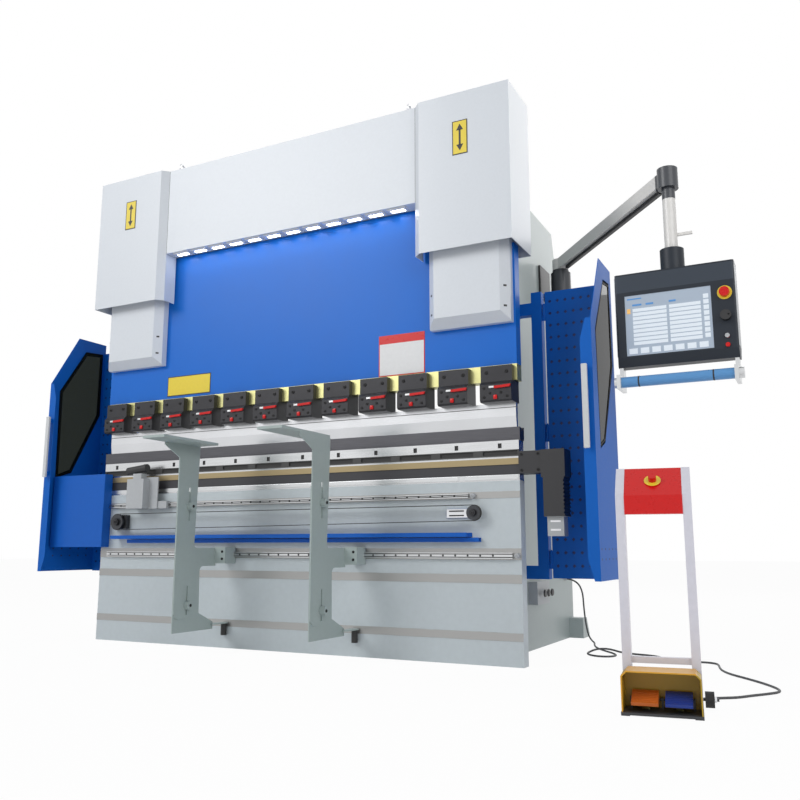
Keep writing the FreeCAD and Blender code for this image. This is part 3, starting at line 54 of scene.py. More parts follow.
# Places that the small parts share with the machine's plates
BAND_FACE = -0.032
RAIL_FACE = -0.050
COVER_FACE = -0.157
RAM_FACE = -0.030
CLAMP_FACE = -0.075
CLAMP_PLATE_FACE = -0.060
CLAMP_PITCH = 0.211
CLAMP_COUNT = 12
FASCIA_HALF = 0.787
LENS = 37.61
SENSOR = 36.0
CAMERA_AT = (2.456, -3.558, 0.506)
CAMERA_TILT = 9.988
CAMERA_PAN = 27.017


def clamp_places():
    """The X of each clamp's middle."""
    return [(index - (CLAMP_COUNT - 1) / 2) * CLAMP_PITCH for index in range(CLAMP_COUNT)]


# Materials

def zone_mask(tree, position, limits, wobble):
    """1 where the position lies within every (axis, low, high), with an uneven edge if there is wobble."""
    links = tree.links
    split = tree.nodes.new("ShaderNodeSeparateXYZ")
    if wobble:
        noise = tree.nodes.new("ShaderNodeTexNoise")
        noise.inputs["Scale"].default_value = 9.0
        links.new(position, noise.inputs["Vector"])
        centred = tree.nodes.new("ShaderNodeVectorMath")
        centred.operation = "SUBTRACT"
        centred.inputs[1].default_value = (0.5, 0.5, 0.5)
        links.new(noise.outputs["Color"], centred.inputs[0])
        scaled = tree.nodes.new("ShaderNodeVectorMath")
        scaled.operation = "MULTIPLY"
        scaled.inputs[1].default_value = (0.0, 0.0, wobble)
        links.new(centred.outputs[0], scaled.inputs[0])
        moved = tree.nodes.new("ShaderNodeVectorMath")
        links.new(position, moved.inputs[0])
        links.new(scaled.outputs[0], moved.inputs[1])
        position = moved.outputs[0]
    links.new(position, split.inputs[0])
    mask = None
    for axis, low, high in limits:
        within = tree.nodes.new("ShaderNodeMath")
        within.operation = "COMPARE"
        links.new(split.outputs[axis], within.inputs[0])
        within.inputs[1].default_value = (low + high) / 2
        within.inputs[2].default_value = (high - low) / 2
        if mask is None:
            mask = within.outputs[0]
            continue
        both = tree.nodes.new("ShaderNodeMath")
        both.operation = "MULTIPLY"
        links.new(mask, both.inputs[0])
        links.new(within.outputs[0], both.inputs[1])
        mask = both.outputs[0]
    return mask


def mixed(tree, kind, mask, first, second):
    """A mix of two values or colours by a mask; each may be a socket or a plain value."""
    mix = tree.nodes.new("ShaderNodeMix")
    mix.data_type = kind
    sockets = [s for s in mix.inputs if s.enabled]
    tree.links.new(mask, sockets[0])
    for socket, value in zip(sockets[1:3], (first, second)):
        if isinstance(value, bpy.types.NodeSocket):
            tree.links.new(value, socket)
        else:
            socket.default_value = value
    return next(s for s in mix.outputs if s.enabled)


def opaque(colour):
    """A colour with full alpha."""
    return (*colour, 1.0)


def finish_of(name, colour, roughness, metallic=0.0, coat=0.0, mottle=0.05, grain=14.0, stretch=(1, 1, 1),
              relief=0.02, zones=(), wobble=0.0, specular=0.5):
    """A material with slight unevenness in colour, gloss and surface, and zones of other finishes.

    Each zone is (limits, colour, roughness, metallic).
    """
    made = bpy.data.materials.new(name)
    made.use_nodes = True
    tree = made.node_tree
    shader = tree.nodes["Principled BSDF"]
    place = tree.nodes.new("ShaderNodeTexCoord").outputs["Object"]
    stretched = tree.nodes.new("ShaderNodeVectorMath")
    stretched.operation = "MULTIPLY"
    stretched.inputs[1].default_value = stretch
    tree.links.new(place, stretched.inputs[0])
    noise = tree.nodes.new("ShaderNodeTexNoise")
    noise.inputs["Scale"].default_value = grain
    noise.inputs["Detail"].default_value = 5.0
    tree.links.new(stretched.outputs[0], noise.inputs["Vector"])
    shade = noise.outputs["Fac"]
    darker = opaque([value * (1 - mottle) for value in colour])
    lighter = opaque([min(1.0, value * (1 + mottle)) for value in colour])
    tint = mixed(tree, "RGBA", shade, darker, lighter)
    gloss = mixed(tree, "FLOAT", shade, roughness * 0.9, min(1.0, roughness * 1.1))
    metal = None
    for limits, zone_colour, zone_roughness, zone_metallic in zones:
        mask = zone_mask(tree, place, limits, wobble)
        tint = mixed(tree, "RGBA", mask, tint, opaque(zone_colour))
        gloss = mixed(tree, "FLOAT", mask, gloss, zone_roughness)
        metal = mixed(tree, "FLOAT", mask, metallic if metal is None else metal, zone_metallic)
    tree.links.new(tint, shader.inputs["Base Color"])
    tree.links.new(gloss, shader.inputs["Roughness"])
    if metal is None:
        shader.inputs["Metallic"].default_value = metallic
    else:
        tree.links.new(metal, shader.inputs["Metallic"])
    shader.inputs["Specular IOR Level"].default_value = specular
    shader.inputs["Coat Weight"].default_value = coat
    shader.inputs["Coat Roughness"].default_value = 0.12
    bump = tree.nodes.new("ShaderNodeBump")
    bump.inputs["Strength"].default_value = relief
    bump.inputs["Distance"].default_value = 0.002
    tree.links.new(shade, bump.inputs["Height"])
    tree.links.new(bump.outputs[0], shader.inputs["Normal"])
    return made


def glowing(name, colour, strength):
    """A material that gives off light."""
    made = bpy.data.materials.new(name)
    made.use_nodes = True
    shader = made.node_tree.nodes["Principled BSDF"]
    shader.inputs["Base Color"].default_value = opaque(colour)
    shader.inputs["Emission Color"].default_value = opaque(colour)
    shader.inputs["Emission Strength"].default_value = strength
    return made


def tinted_pane(name, colour):
    """Dark clear plastic."""
    made = bpy.data.materials.new(name)
    made.use_nodes = True
    shader = made.node_tree.nodes["Principled BSDF"]
    shader.inputs["Base Color"].default_value = opaque(colour)
    shader.inputs["Roughness"].default_value = 0.04
    shader.inputs["Transmission Weight"].default_value = 0.75
    shader.inputs["IOR"].default_value = 1.12
    return made


STEEL = (0.62, 0.63, 0.64)
WORN_STEEL = (0.36, 0.36, 0.355)


def on_front(low, high, face=BAND_FACE):
    """A level strip of a plate's front face."""
    return (("Z", low, high), ("Y", face - 0.001, face + 0.001))


band_zones = [(on_front(low, high), WORN_STEEL, 0.42, 0.85)
              for low, high in ((0.721, 0.751), (0.451, 0.501), (0.350, 0.388), (0.107, 0.142))]
table_finish_and_hole_shade_zones = [((("Z", 0.905, 0.935), ("Y", -0.033, -0.020)), (0.06, 0.06, 0.06), 0.5, 0.4),
               ((("Z", 0.869, 0.897), ("Y", -0.033, -0.020)), (0.34, 0.27, 0.15), 0.42, 0.7),
               ((("Z", 0.824, 0.869), ("Y", -0.033, -0.020)), (0.045, 0.045, 0.05), 0.5, 0.3),
               # The last zone paints the recessed faces behind the holes along the table's front near black:
               # painted shade inside the holes.
               ((("Z", 0.9, 0.966), ("Y", -0.0262, -0.0255)), (0.02, 0.02, 0.02), 0.6, 0.0)]
# A dark line painted across the punch where its shoulder step casts a thin shadow: painted shadow.
punch_shadow_line_zones = [((("Z", 1.1275, 1.1305),), (0.05, 0.05, 0.05), 0.5, 0.5)]
# The hood's lower front part is painted a darker olive yellow for the shade inside it: painted shade.
stand_hood_shade_zones = [((("Z", 0.0, 0.1275), ("X", 1.83, 2.09), ("Y", -0.842, -0.6)),
                     (0.46, 0.30, 0.010), 0.5, 0.0)]

arm_zones = [((("X", 1.88, 2.00), ("Z", 2.00, 2.17)), (0.045, 0.05, 0.06), 0.4, 0.0),
             ((("X", 1.12, 1.26), ("Z", 1.90, 2.068)), (0.045, 0.05, 0.06), 0.4, 0.0)]
handle_zones = [((("X", 1.680, 1.7185),), STEEL, 0.3, 1.0), ((("X", 2.1645, 2.210),), STEEL, 0.3, 1.0)]
roller_zones = [((("Z", 0.060, 0.1235), ("Y", -0.0625, -0.0320)), (0.02, 0.02, 0.02), 0.7, 0.0)]
console_zones = [((("Z", 1.59, 1.665), ("Y", -0.017, -0.013)), (0.040, 0.052, 0.070), 0.40, 0.0)]
BLUE = (0.002, 0.115, 0.50)
finishes = {
    "ram_blue": finish_of("ram_blue", (0.002, 0.14, 0.60), 0.38, specular=0.3, mottle=0.07, grain=3.0),
    "guard_blue": finish_of("guard_blue", BLUE, 0.50, mottle=0.05, grain=60.0, relief=0.05, specular=0.22),
    "box_blue": finish_of("box_blue", (0.006, 0.11, 0.50), 0.46, mottle=0.05, grain=50.0, relief=0.05,
                          specular=0.25),
    "pale_green": finish_of("pale_green", (0.42, 0.48, 0.48), 0.42, coat=0.1, grain=40.0, relief=0.04),
    "bed_paint": finish_of("bed_paint", (0.54, 0.60, 0.63), 0.40, coat=0.1, grain=40.0, relief=0.04,
                           zones=band_zones, wobble=0.005),
    "cover_white": finish_of("cover_white", (0.67, 0.71, 0.76), 0.36, coat=0.15, mottle=0.03, grain=70.0,
                             relief=0.03),
    "arm_grey": finish_of("arm_grey", (0.38, 0.45, 0.44), 0.42, coat=0.1, grain=60.0, relief=0.03,
                          zones=roller_zones),
    "machined": finish_of("machined", STEEL, 0.28, metallic=1.0, mottle=0.10, grain=8.0, stretch=(1, 30, 30),
                          relief=0.06),
    "table_steel": finish_of("table_steel", STEEL, 0.26, metallic=1.0, mottle=0.10, grain=8.0,
                             stretch=(1, 30, 30), relief=0.05, zones=table_finish_and_hole_shade_zones),
    "die_steel": finish_of("die_steel", (0.10, 0.10, 0.11), 0.34, metallic=0.9, mottle=0.2, grain=10.0,
                           stretch=(1, 20, 20)),
    "punch_steel": finish_of("punch_steel", (0.66, 0.67, 0.69), 0.24, metallic=1.0, mottle=0.07, grain=4.0,
                             relief=0.02, zones=punch_shadow_line_zones),
    "clamp_black": finish_of("clamp_black", (0.032, 0.032, 0.036), 0.38, metallic=0.5, mottle=0.2,
                             grain=30.0),
    "zinc": finish_of("zinc", (0.62, 0.60, 0.28), 0.36, metallic=0.9, mottle=0.14, grain=18.0),
    "chrome": finish_of("chrome", (0.80, 0.80, 0.80), 0.08, metallic=1.0, mottle=0.03),
    "aluminium": finish_of("aluminium", (0.70, 0.71, 0.73), 0.32, metallic=1.0, mottle=0.08, grain=20.0),
    "dark_wheel": finish_of("dark_wheel", (0.055, 0.058, 0.065), 0.36, metallic=0.6, mottle=0.15, grain=30.0),
    "dark_screw": finish_of("dark_screw", (0.012, 0.012, 0.013), 0.45, metallic=0.4),
    "barrel_dark": finish_of("barrel_dark", (0.05, 0.06, 0.07), 0.40, coat=0.2),
    "black_plastic": finish_of("black_plastic", (0.018, 0.018, 0.020), 0.46, grain=200.0, relief=0.10),
    "motor_black": finish_of("motor_black", (0.022, 0.022, 0.025), 0.42, grain=120.0, relief=0.08,
                             zones=[((("Z", 0.50, 0.636),), (0.40, 0.42, 0.43), 0.45, 0.2)]),
    "rubber": finish_of("rubber", (0.025, 0.025, 0.025), 0.72, grain=150.0, relief=0.15),
    "cable_grey": finish_of("cable_grey", (0.065, 0.067, 0.072), 0.52, grain=180.0, relief=0.08),
    "red_plastic": finish_of("red_plastic", (0.64, 0.006, 0.006), 0.28, coat=0.15, grain=60.0, specular=0.3),
    "hood_yellow": finish_of("hood_yellow", (0.72, 0.36, 0.012), 0.36, coat=0.2, grain=60.0, relief=0.05,
                             zones=stand_hood_shade_zones),
    "post_white": finish_of("post_white", (0.68, 0.68, 0.76), 0.34, coat=0.1, grain=60.0),
    "pedal_orange": finish_of("pedal_orange", (0.60, 0.14, 0.018), 0.44, grain=90.0, relief=0.08),
    "pedal_blue": finish_of("pedal_blue", (0.012, 0.045, 0.31), 0.44, grain=90.0, relief=0.08),
    "console_dark": finish_of("console_dark", (0.018, 0.024, 0.034), 0.42, grain=90.0, relief=0.05,
                              specular=0.3, zones=console_zones),
    "handle_blue": finish_of("handle_blue", (0.09, 0.29, 0.60), 0.34, coat=0.2, grain=70.0,
                             zones=handle_zones),
    "arm_pale": finish_of("arm_pale", (0.76, 0.75, 0.73), 0.34, coat=0.2, grain=60.0, relief=0.03,
                          zones=arm_zones),
    "base_dark": finish_of("base_dark", (0.035, 0.037, 0.042), 0.45, coat=0.1, grain=60.0),
    "outlet_grey": finish_of("outlet_grey", (0.46, 0.48, 0.50), 0.42, grain=60.0),
    "yellow": finish_of("yellow", (0.80, 0.62, 0.035), 0.34, coat=0.2, grain=60.0),
    "plain_white": finish_of("plain_white", (0.74, 0.75, 0.76), 0.36, grain=60.0),
    "lamp_glow": glowing("lamp_glow", (0.92, 0.97, 1.0), 12.0),
    "screen_glow": glowing("screen_glow", (0.36, 0.43, 0.52), 0.15),
    "screen_pale": glowing("screen_pale", (0.66, 0.72, 0.78), 0.25),
    "screen_blue": glowing("screen_blue", (0.07, 0.22, 0.48), 0.35),
    "screen_amber": glowing("screen_amber", (0.75, 0.42, 0.12), 0.35),
    "smoked": tinted_pane("smoked", (0.030, 0.035, 0.030)),
}

dress = {
    "ram_blue": ["ram_beam"],
    "guard_blue": ["guard_panel_left", "guard_panel_right", "tool_board_left", "tool_board_right",
                   "guard_posts"],
    "box_blue": ["bed_box", "belt_tray"],
    "bed_paint": ["bed_plate"],
    "pale_green": ["side_frame_left", "side_frame_right", "upper_cross_beam", "rear_cross_beam", "oil_tank"],
    "cover_white": ["upper_covers", "fascia", "ram_covers"],
    "arm_grey": ["support_arm_left", "support_arm_right", "support_slider_left", "support_slider_right"],
    "machined": ["upper_rail", "lower_rail"],
    "table_steel": ["crowning_table"],
    "die_steel": ["lower_die"],
    "punch_steel": ["punch"],
    "clamp_black": ["tool_clamps"],
    "zinc": ["ram_strip"],
    "aluminium": ["lifting_eyes"],
    "chrome": ["piston_rods"],
    "dark_wheel": ["belt_pulleys"],
    "barrel_dark": ["cylinders"],
    "black_plastic": ["sensor_camera", "pendant_bracket", "jog_knob"],
    "motor_black": ["crowning_motor"],
    "rubber": ["drive_belt", "stand_wheel"],
    "red_plastic": ["clamp_levers", "stop_box", "stop_button", "console_buttons"],
    "hood_yellow": ["stand_hood"],
    "post_white": ["stand_posts"],
    "pedal_orange": ["pedal_left"],
    "pedal_blue": ["pedal_right"],
    "console_dark": ["pendant_console"],
    "handle_blue": ["console_handle"],
    "arm_pale": ["pendant_arm"],
    "base_dark": ["stand_base"],
    "outlet_grey": ["frame_outlets", "sensor_carriage"],
    "plain_white": ["fascia_lamps"],
    "screen_glow": ["console_screen"],
    "smoked": ["guard_window_left", "guard_window_right"],
}
for finish_name, names in dress.items():
    for node_name in names:
        slots = nodes[node_name].data.materials
        slots.clear()
        slots.append(finishes[finish_name])


# Small parts

def block(shape, low, high, bevel=0.0):
    """A bevelled block between two corners."""
    low, high = Vector(low), Vector(high)
    size = high - low
    place = Matrix.Translation((low + high) / 2) @ Matrix.Diagonal((*size, 1.0))
    made = bmesh.ops.create_cube(shape, size=1.0, matrix=place)
    if bevel:
        edges = list({edge for vert in made["verts"] for edge in vert.link_edges})
        bmesh.ops.bevel(shape, geom=edges, offset=min(bevel, min(size) * 0.4), segments=2, affect="EDGES",
                        profile=0.5)


FACING = {"X": Matrix.Rotation(math.pi / 2, 4, "Y"), "Y": Matrix.Rotation(math.pi / 2, 4, "X"),
          "Z": Matrix.Identity(4)}


def drum(shape, middle, axis, radius, length, end_radius=None, sides=24):
    """A round piece about its middle point along an axis, tapered if a second radius is given."""
    second = radius if end_radius is None else end_radius
    place = Matrix.Translation(middle) @ FACING[axis]
    bmesh.ops.create_cone(shape, cap_ends=True, segments=sides, radius1=radius, radius2=second, depth=length,
                          matrix=place)


def screw(shape, x, y, z, radius, proud=0.004):
    """A cap screw on a face towards the operator, with a socket in its head."""
    rings = []
    for reach, depth in ((radius, 0.0), (radius, proud * 0.8), (radius * 0.85, proud), (radius * 0.45, proud),
                         (radius * 0.45, proud * 0.25)):
        rings.append([shape.verts.new((x + reach * math.cos(turn), y - depth, z + reach * math.sin(turn)))
                      for turn in (step * math.pi / 8 for step in range(16))])
    for inner, outer in zip(rings, rings[1:]):
        for index in range(16):
            after = (index + 1) % 16
            shape.faces.new((inner[index], inner[after], outer[after], outer[index]))
    shape.faces.new(rings[-1])


def piece(name, body, finish, build, smooth=False):
    """Makes one named piece from a bmesh builder and lets it ride on a body."""
    shape = bmesh.new()
    build(shape)
    bmesh.ops.recalc_face_normals(shape, faces=shape.faces)
    mesh = bpy.data.meshes.new(name)
    shape.to_mesh(mesh)
    shape.free()
    mesh.materials.append(finishes[finish])
    if smooth:
        mesh.shade_smooth()
        mesh.set_sharp_from_angle(angle=math.radians(35))
    made = bpy.data.objects.new(name, mesh)
    bpy.context.scene.collection.objects.link(made)
    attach(made, body)
    return made


def clamp_fittings():
    """The screws, wedge and release button of each clamp."""
    def screws(shape):
        for middle in clamp_places():
            for x in (-0.048, 0.048):
                screw(shape, middle + x, CLAMP_PLATE_FACE, 1.288, 0.0085)
            for x, z in ((-0.055, 1.214), (-0.055, 1.172), (0.055, 1.172), (-0.026, 1.190), (0.026, 1.190)):
                screw(shape, middle + x, CLAMP_FACE, z, 0.0065, 0.003)
    piece("clamp_screws", "ram", "dark_screw", screws, smooth=True)

    def wedges(shape):
        for middle in clamp_places():
            block(shape, (middle - 0.030, CLAMP_FACE - 0.005, 1.212),
                  (middle - 0.006, CLAMP_FACE + 0.001, 1.222), 0.0015)
    piece("clamp_wedges", "ram", "machined", wedges)

    def buttons(shape):
        for middle in clamp_places():
            block(shape, (middle - 0.009, CLAMP_FACE - 0.007, 1.160),
                  (middle + 0.009, CLAMP_FACE + 0.001, 1.180), 0.003)
    piece("clamp_buttons", "ram", "red_plastic", buttons, smooth=True)


def rail_fittings():
    """Black discs painted as the shade in the countersunk holes along both rails, and the round stops at
    their ends.
    """
    def holes(shape):
        first, pitch = 0.03, 0.06
        for left, right, z in ((-1.186, 1.011, 0.7345), (-1.185, 1.215, 0.469)):
            count = int((right - left - first) / pitch)
            for index in range(count):
                x = left + first + index * pitch
                drum(shape, (x, RAIL_FACE - 0.0002, z), "Y", 0.0048, 0.0010, sides=14)
    piece("rail_hole_shade", "machine", "clamp_black", holes)

    def stops(shape):
        for x, z in ((-1.204, 0.7345), (1.030, 0.7345), (1.234, 0.469)):
            drum(shape, (x, BAND_FACE - 0.009, z), "Y", 0.012, 0.018, 0.0105)
            screw(shape, x, BAND_FACE - 0.018, z, 0.006)
    piece("rail_stops", "machine", "outlet_grey", stops, smooth=True)


def table_fittings():
    """The screws in the die table's upper recesses and the two bright bars along its foot."""
    def screws(shape):
        for middle in clamp_places():
            screw(shape, middle + 0.06, -0.032, 0.8125, 0.0035, 0.002)
    piece("table_screws", "machine", "aluminium", screws, smooth=True)

    def bars(shape):
        for left, right in ((-1.245, 0.960), (0.990, 1.245)):
            block(shape, (left, -0.0345, 0.803), (right, -0.0315, 0.822), 0.001)
    piece("table_bars", "machine", "machined", bars)


def belt_fittings():
    """The pulleys' hubs, the tension plate's cover, and black strips painted as the shade in its slots."""
    def hubs(shape):
        for x, z, radius in ((-1.093, 0.645, 0.020), (1.045, 0.657, 0.016)):
            drum(shape, (x, -0.0885, z), "Y", radius, 0.005, radius * 0.9)
            screw(shape, x, -0.091, z, radius * 0.45)
    piece("pulley_hubs", "machine", "clamp_black", hubs, smooth=True)

    # Black strips painted as the shade inside the tension plate's slots.
    def slots(shape):
        for z in (0.647, 0.667):
            block(shape, (0.912, -0.0388, z - 0.003), (0.985, -0.0381, z + 0.003))
    piece("tension_slot_shade", "machine", "clamp_black", slots)
    piece("tension_cover", "machine", "aluminium", lambda shape: block(
        shape, (0.9005, -0.0383, 0.6375), (1.0045, -0.0377, 0.6765)))


def support_screws():
    """Two screws on each support's rail block, and the caps of its knobs."""
    for name, web, arm, slider in (("left", -0.360, "support_left", "slider_left"),
                                   ("right", 0.410, "support_right", "slider_right")):
        def screws(shape, web=web):
            for z in (0.448, 0.484):
                screw(shape, web + 0.048, -0.120, z, 0.0065, 0.003)
        piece("rail_block_screws_" + name, arm, "dark_screw", screws, smooth=True)

        def caps(shape, web=web):
            for y, z in ((-0.332, 0.704), (-0.324, 0.229)):
                drum(shape, (web + 0.0325, y, z), "X", 0.008, 0.003, 0.0065)
        piece("knob_caps_" + name, arm, "dark_screw", caps, smooth=True)


def warning_plates():
    """Plain coloured plates where the machine has its axis and safety plates."""
    def edged(name, body, low, high, face, inner, edge="black_plastic"):
        piece(name + "_edge", body, edge, lambda shape: block(
            shape, (low[0], face - 0.0012, low[1]), (high[0], face, high[1]), 0.0004))
        rim = 0.005
        piece(name, body, inner, lambda shape: block(
            shape, (low[0] + rim, face - 0.0018, low[1] + rim),
            (high[0] - rim, face - 0.0010, high[1] - rim)))

    for side, left in (("left", -1.080), ("right", 1.000)):
        edged("axis_plate_" + side, "machine", (left, 2.328), (left + 0.078, 2.500), COVER_FACE,
              "yellow")
        middle = left + 0.039

        def arrow(shape, middle=middle):
            face = COVER_FACE - 0.0021
            block(shape, (middle - 0.005, face, 2.375), (middle + 0.005, face + 0.0006, 2.453))
            for tip, base in ((2.482, 2.450), (2.346, 2.378)):
                corners = [shape.verts.new((x, face, z)) for x, z in
                           ((middle, tip), (middle - 0.018, base), (middle + 0.018, base))]
                shape.faces.new(corners)
        piece("axis_arrow_" + side, "machine", "black_plastic", arrow)
    edged("ram_plate_left", "ram", (-0.812, 1.338), (-0.506, 1.450), RAM_FACE, "yellow")
    edged("ram_plate_right", "ram", (0.541, 1.325), (0.791, 1.530), RAM_FACE, "plain_white",
          "red_plastic")
    piece("ram_plate_header", "ram", "red_plastic", lambda shape: block(
        shape, (0.546, RAM_FACE - 0.0022, 1.487), (0.786, RAM_FACE - 0.0016, 1.525)))


def cover_fittings():
    """Black marks painted as the shade in the slots of the ram's covers, the fascia's glowing lamps and its
    seams.
    """
    def slots(shape):
        """Two black marks on each upright bevel of the ram's covers, painted as the shade in its slots."""
        for side in (-1, 1):
            for x, turn in ((1.2210, 45), (0.8530, -45)):
                for z in (1.585, 1.680):
                    place = (Matrix.Translation((side * x, -0.0852, z)) @ Matrix.Rotation(
                        math.radians(side * turn), 4, "Z") @ Matrix.Diagonal((0.016, 0.0014, 0.009, 1.0)))
                    bmesh.ops.create_cube(shape, size=1.0, matrix=place)
    piece("skirt_slot_shade", "ram", "black_plastic", slots)

    def tubes(shape):
        """The glowing bar of each lamp."""
        margin, count, lead = 0.040, 12, 0.050
        pitch = (2 * FASCIA_HALF - 2 * margin) / count
        for index in range(count):
            middle = -FASCIA_HALF + margin + index * pitch + lead
            block(shape, (middle - 0.036, -0.090, 2.1412), (middle + 0.036, -0.070, 2.1434), 0.0008)
    piece("lamp_tubes", "machine", "lamp_glow", tubes)

    def seams(shape):
        for side in (-1, 1):
            x = side * FASCIA_HALF
            block(shape, (x - 0.0012, -0.1224, 2.149), (x + 0.0012, -0.1216, 2.644))
    piece("fascia_seams", "machine", "black_plastic", seams)


def guard_fittings():
    """Window seals, black discs painted as hole shade, pale grips and a dark blue sheet painted as shade
    behind the tool boards, on both side guards.
    """
    pane = [(0.108, 1.695), (0.218, 1.706), (0.222, 1.326), (0.030, 0.960), (-0.056, 0.925), (-0.066, 1.430)]
    centre = Vector((sum(y for y, z in pane) / len(pane), sum(z for y, z in pane) / len(pane)))

    def seal_on(side):
        def seal(shape):
            x = side * 1.6185
            thick = side * 0.0045
            inner, outer = [], []
            for y, z in pane:
                away = (Vector((y, z)) - centre).normalized()
                inner.append(Vector((y, z)) - away * 0.008)
                outer.append(Vector((y, z)) + away * 0.010)
            count = len(pane)
            loops = [[shape.verts.new((plane, point.x, point.y)) for point in ring]
                     for plane, ring in ((x - thick, inner), (x - thick, outer), (x + side * 0.0015, outer),
                                         (x + side * 0.0015, inner))]
            for first, second in zip(loops, loops[1:] + loops[:1]):
                for index in range(count):
                    after = (index + 1) % count
                    shape.faces.new((first[index], first[after], second[after], second[index]))
        return seal
    for name, side, body in (("left", -1, "guard_left"), ("right", 1, "machine")):
        piece("window_seal_" + name, body, "rubber", seal_on(side))

        # The left panel's outer face closes the frame's box, so its black discs of painted hole shade are on
        # the inner face.
        holes_x = -1.6166 if side < 0 else 1.6200

        def holes(shape, holes_x=holes_x):
            for z in (0.498, 0.457):
                for index in range(6):
                    drum(shape, (holes_x, -0.110 + index * 0.062, z), "X", 0.0045, 0.0010, sides=16)
        piece("guard_hole_shade_" + name, body, "black_plastic", holes)

        # A dark blue sheet behind the perforated tool boards: painted shade seen through their holes.
        def shade_sheet(shape, side=side):
            near, far = sorted((side * 1.308, side * 1.614))
            block(shape, (near, 0.2598, 0.372), (far, 0.2612, 1.726))
        piece("tool_board_shade_sheet_" + name, body, "shade_sheet_blue", shade_sheet)

        def grip(shape, side=side):
            low = min(side * 1.5775, side * 1.6025)
            block(shape, (low, -0.1765, 0.907), (low + 0.025, -0.1625, 1.262), 0.003)
        piece("guard_grip_sleeve_" + name, body, "arm_pale_plain", grip)


def pendant_fittings():
    """The cable channel under the arm, the console's screen marks and side trims, and the handle's rings."""
    start, end = Vector((1.190, 0.955, 2.062)), Vector((1.937, 0.045, 2.062))
    along = (end - start).normalized()
    across = Vector((-along.y, along.x, 0.0))

    def channel(shape):
        corners = []
        for point in (start + along * 0.09, end - along * 0.06):
            for reach, drop in ((-0.009, 0.010), (0.009, 0.010), (0.009, -0.009), (-0.009, -0.009)):
                corners.append(shape.verts.new(point + across * reach + Vector((0, 0, drop))))
        for index in range(4):
            after = (index + 1) % 4
            shape.faces.new((corners[index], corners[after], corners[after + 4], corners[index + 4]))
        shape.faces.new(corners[:4])
        shape.faces.new(corners[4:][::-1])
    piece("pendant_channel", "pendant_arm", "black_plastic", channel)

    glass = -0.0170
    left, low, wide, high = 1.738, 1.308, 0.352, 0.265

    def mark(name, finish, boxes):
        piece(name, "console", finish, lambda shape: [block(
            shape, (left + x0 * wide, glass + 0.0030, low + z0 * high),
            (left + x1 * wide, glass + 0.0041, low + z1 * high)) for x0, z0, x1, z1 in boxes])
    rows = 9
    step = 0.62 / rows
    mark("screen_rows", "screen_pale", [
        (x0, 0.17 + row * step, x1, 0.17 + (row + 0.78) * step)
        for row in range(rows) for x0, x1 in ((0.09, 0.49), (0.52, 0.88))])
    mark("screen_bars", "screen_blue", [
        (0.09, 0.82, 0.20, 0.85), (0.25, 0.82, 0.34, 0.85), (0.52, 0.82, 0.60, 0.85),
        (0.03, 0.93, 0.20, 0.95)])
    mark("screen_keys", "screen_pale", [
        (0.03 + index * 0.135, 0.03, 0.13 + index * 0.135, 0.12) for index in range(7)])
    mark("screen_column", "screen_pale", [
        (0.91, 0.18 + index * 0.09, 0.97, 0.25 + index * 0.09) for index in range(8)])
    mark("screen_highlight", "screen_amber", [(0.025, 0.70, 0.065, 0.78)])

    def trims(shape):
        for x in (1.698, 2.185):
            block(shape, (x - 0.0015, -0.010, 1.310), (x + 0.0015, 0.060, 1.660), 0.001)
    piece("console_trims", "console", "outlet_grey", trims)

    def rings(shape):
        for x in (1.790, 2.085):
            drum(shape, (x, -0.045, 1.190), "X", 0.0230, 0.006, sides=32)
    piece("handle_rings", "console", "black_plastic", rings, smooth=True)
    piece("stop_collar", "console", "yellow", lambda shape: drum(
        shape, (2.143, -0.0165, 1.535), "Y", 0.029, 0.003, sides=32), smooth=True)
    piece("console_grey_key", "console", "outlet_grey", lambda shape: drum(
        shape, (2.143, -0.0235, 1.353), "Y", 0.0092, 0.0015, sides=24), smooth=True)


def motor_fittings():
    """The silver clips of the crowning motor's plug and the screws of its gearbox."""
    def clips(shape):
        for z in (0.575, 0.612):
            block(shape, (1.384, -0.0315, z), (1.429, -0.0298, z + 0.008), 0.0005)
    piece("plug_clips", "machine", "aluminium", clips)

    def screws(shape):
        for x in (1.264, 1.339):
            for z in (0.840, 0.910):
                screw(shape, x, -0.042, z, 0.006)
    piece("gearbox_screws", "machine", "dark_screw", screws, smooth=True)


def outlet_fittings():
    """Round sockets on the block on the right frame."""
    def sockets(shape):
        for y in (0.590, 0.650, 0.710):
            drum(shape, (1.1575, y, 0.279), "X", 0.019, 0.007, 0.017, sides=32)
    piece("outlet_sockets", "machine", "black_plastic", sockets, smooth=True)


# A dark blue painted as the shade behind the tool boards.
finishes["shade_sheet_blue"] = finish_of("shade_sheet_blue", (0.003, 0.02, 0.12), 0.5, grain=60.0)
finishes["arm_pale_plain"] = finish_of("arm_pale_plain", (0.62, 0.64, 0.66), 0.34, coat=0.2, grain=60.0)
clamp_fittings()
rail_fittings()
table_fittings()
belt_fittings()
support_screws()
warning_plates()
cover_fittings()
guard_fittings()
pendant_fittings()
motor_fittings()
outlet_fittings()


# Pedal stand

STAND_AT = Matrix.Translation((1.960, -0.853, 0.0)) @ Matrix.Rotation(math.radians(8.0), 4, "Z")


def on_stand(build):
    """Builds about the stand's front edge and sets the result where the stand is."""
    def placed(shape):
        build(shape)
        bmesh.ops.transform(shape, matrix=STAND_AT, verts=shape.verts)
    return placed


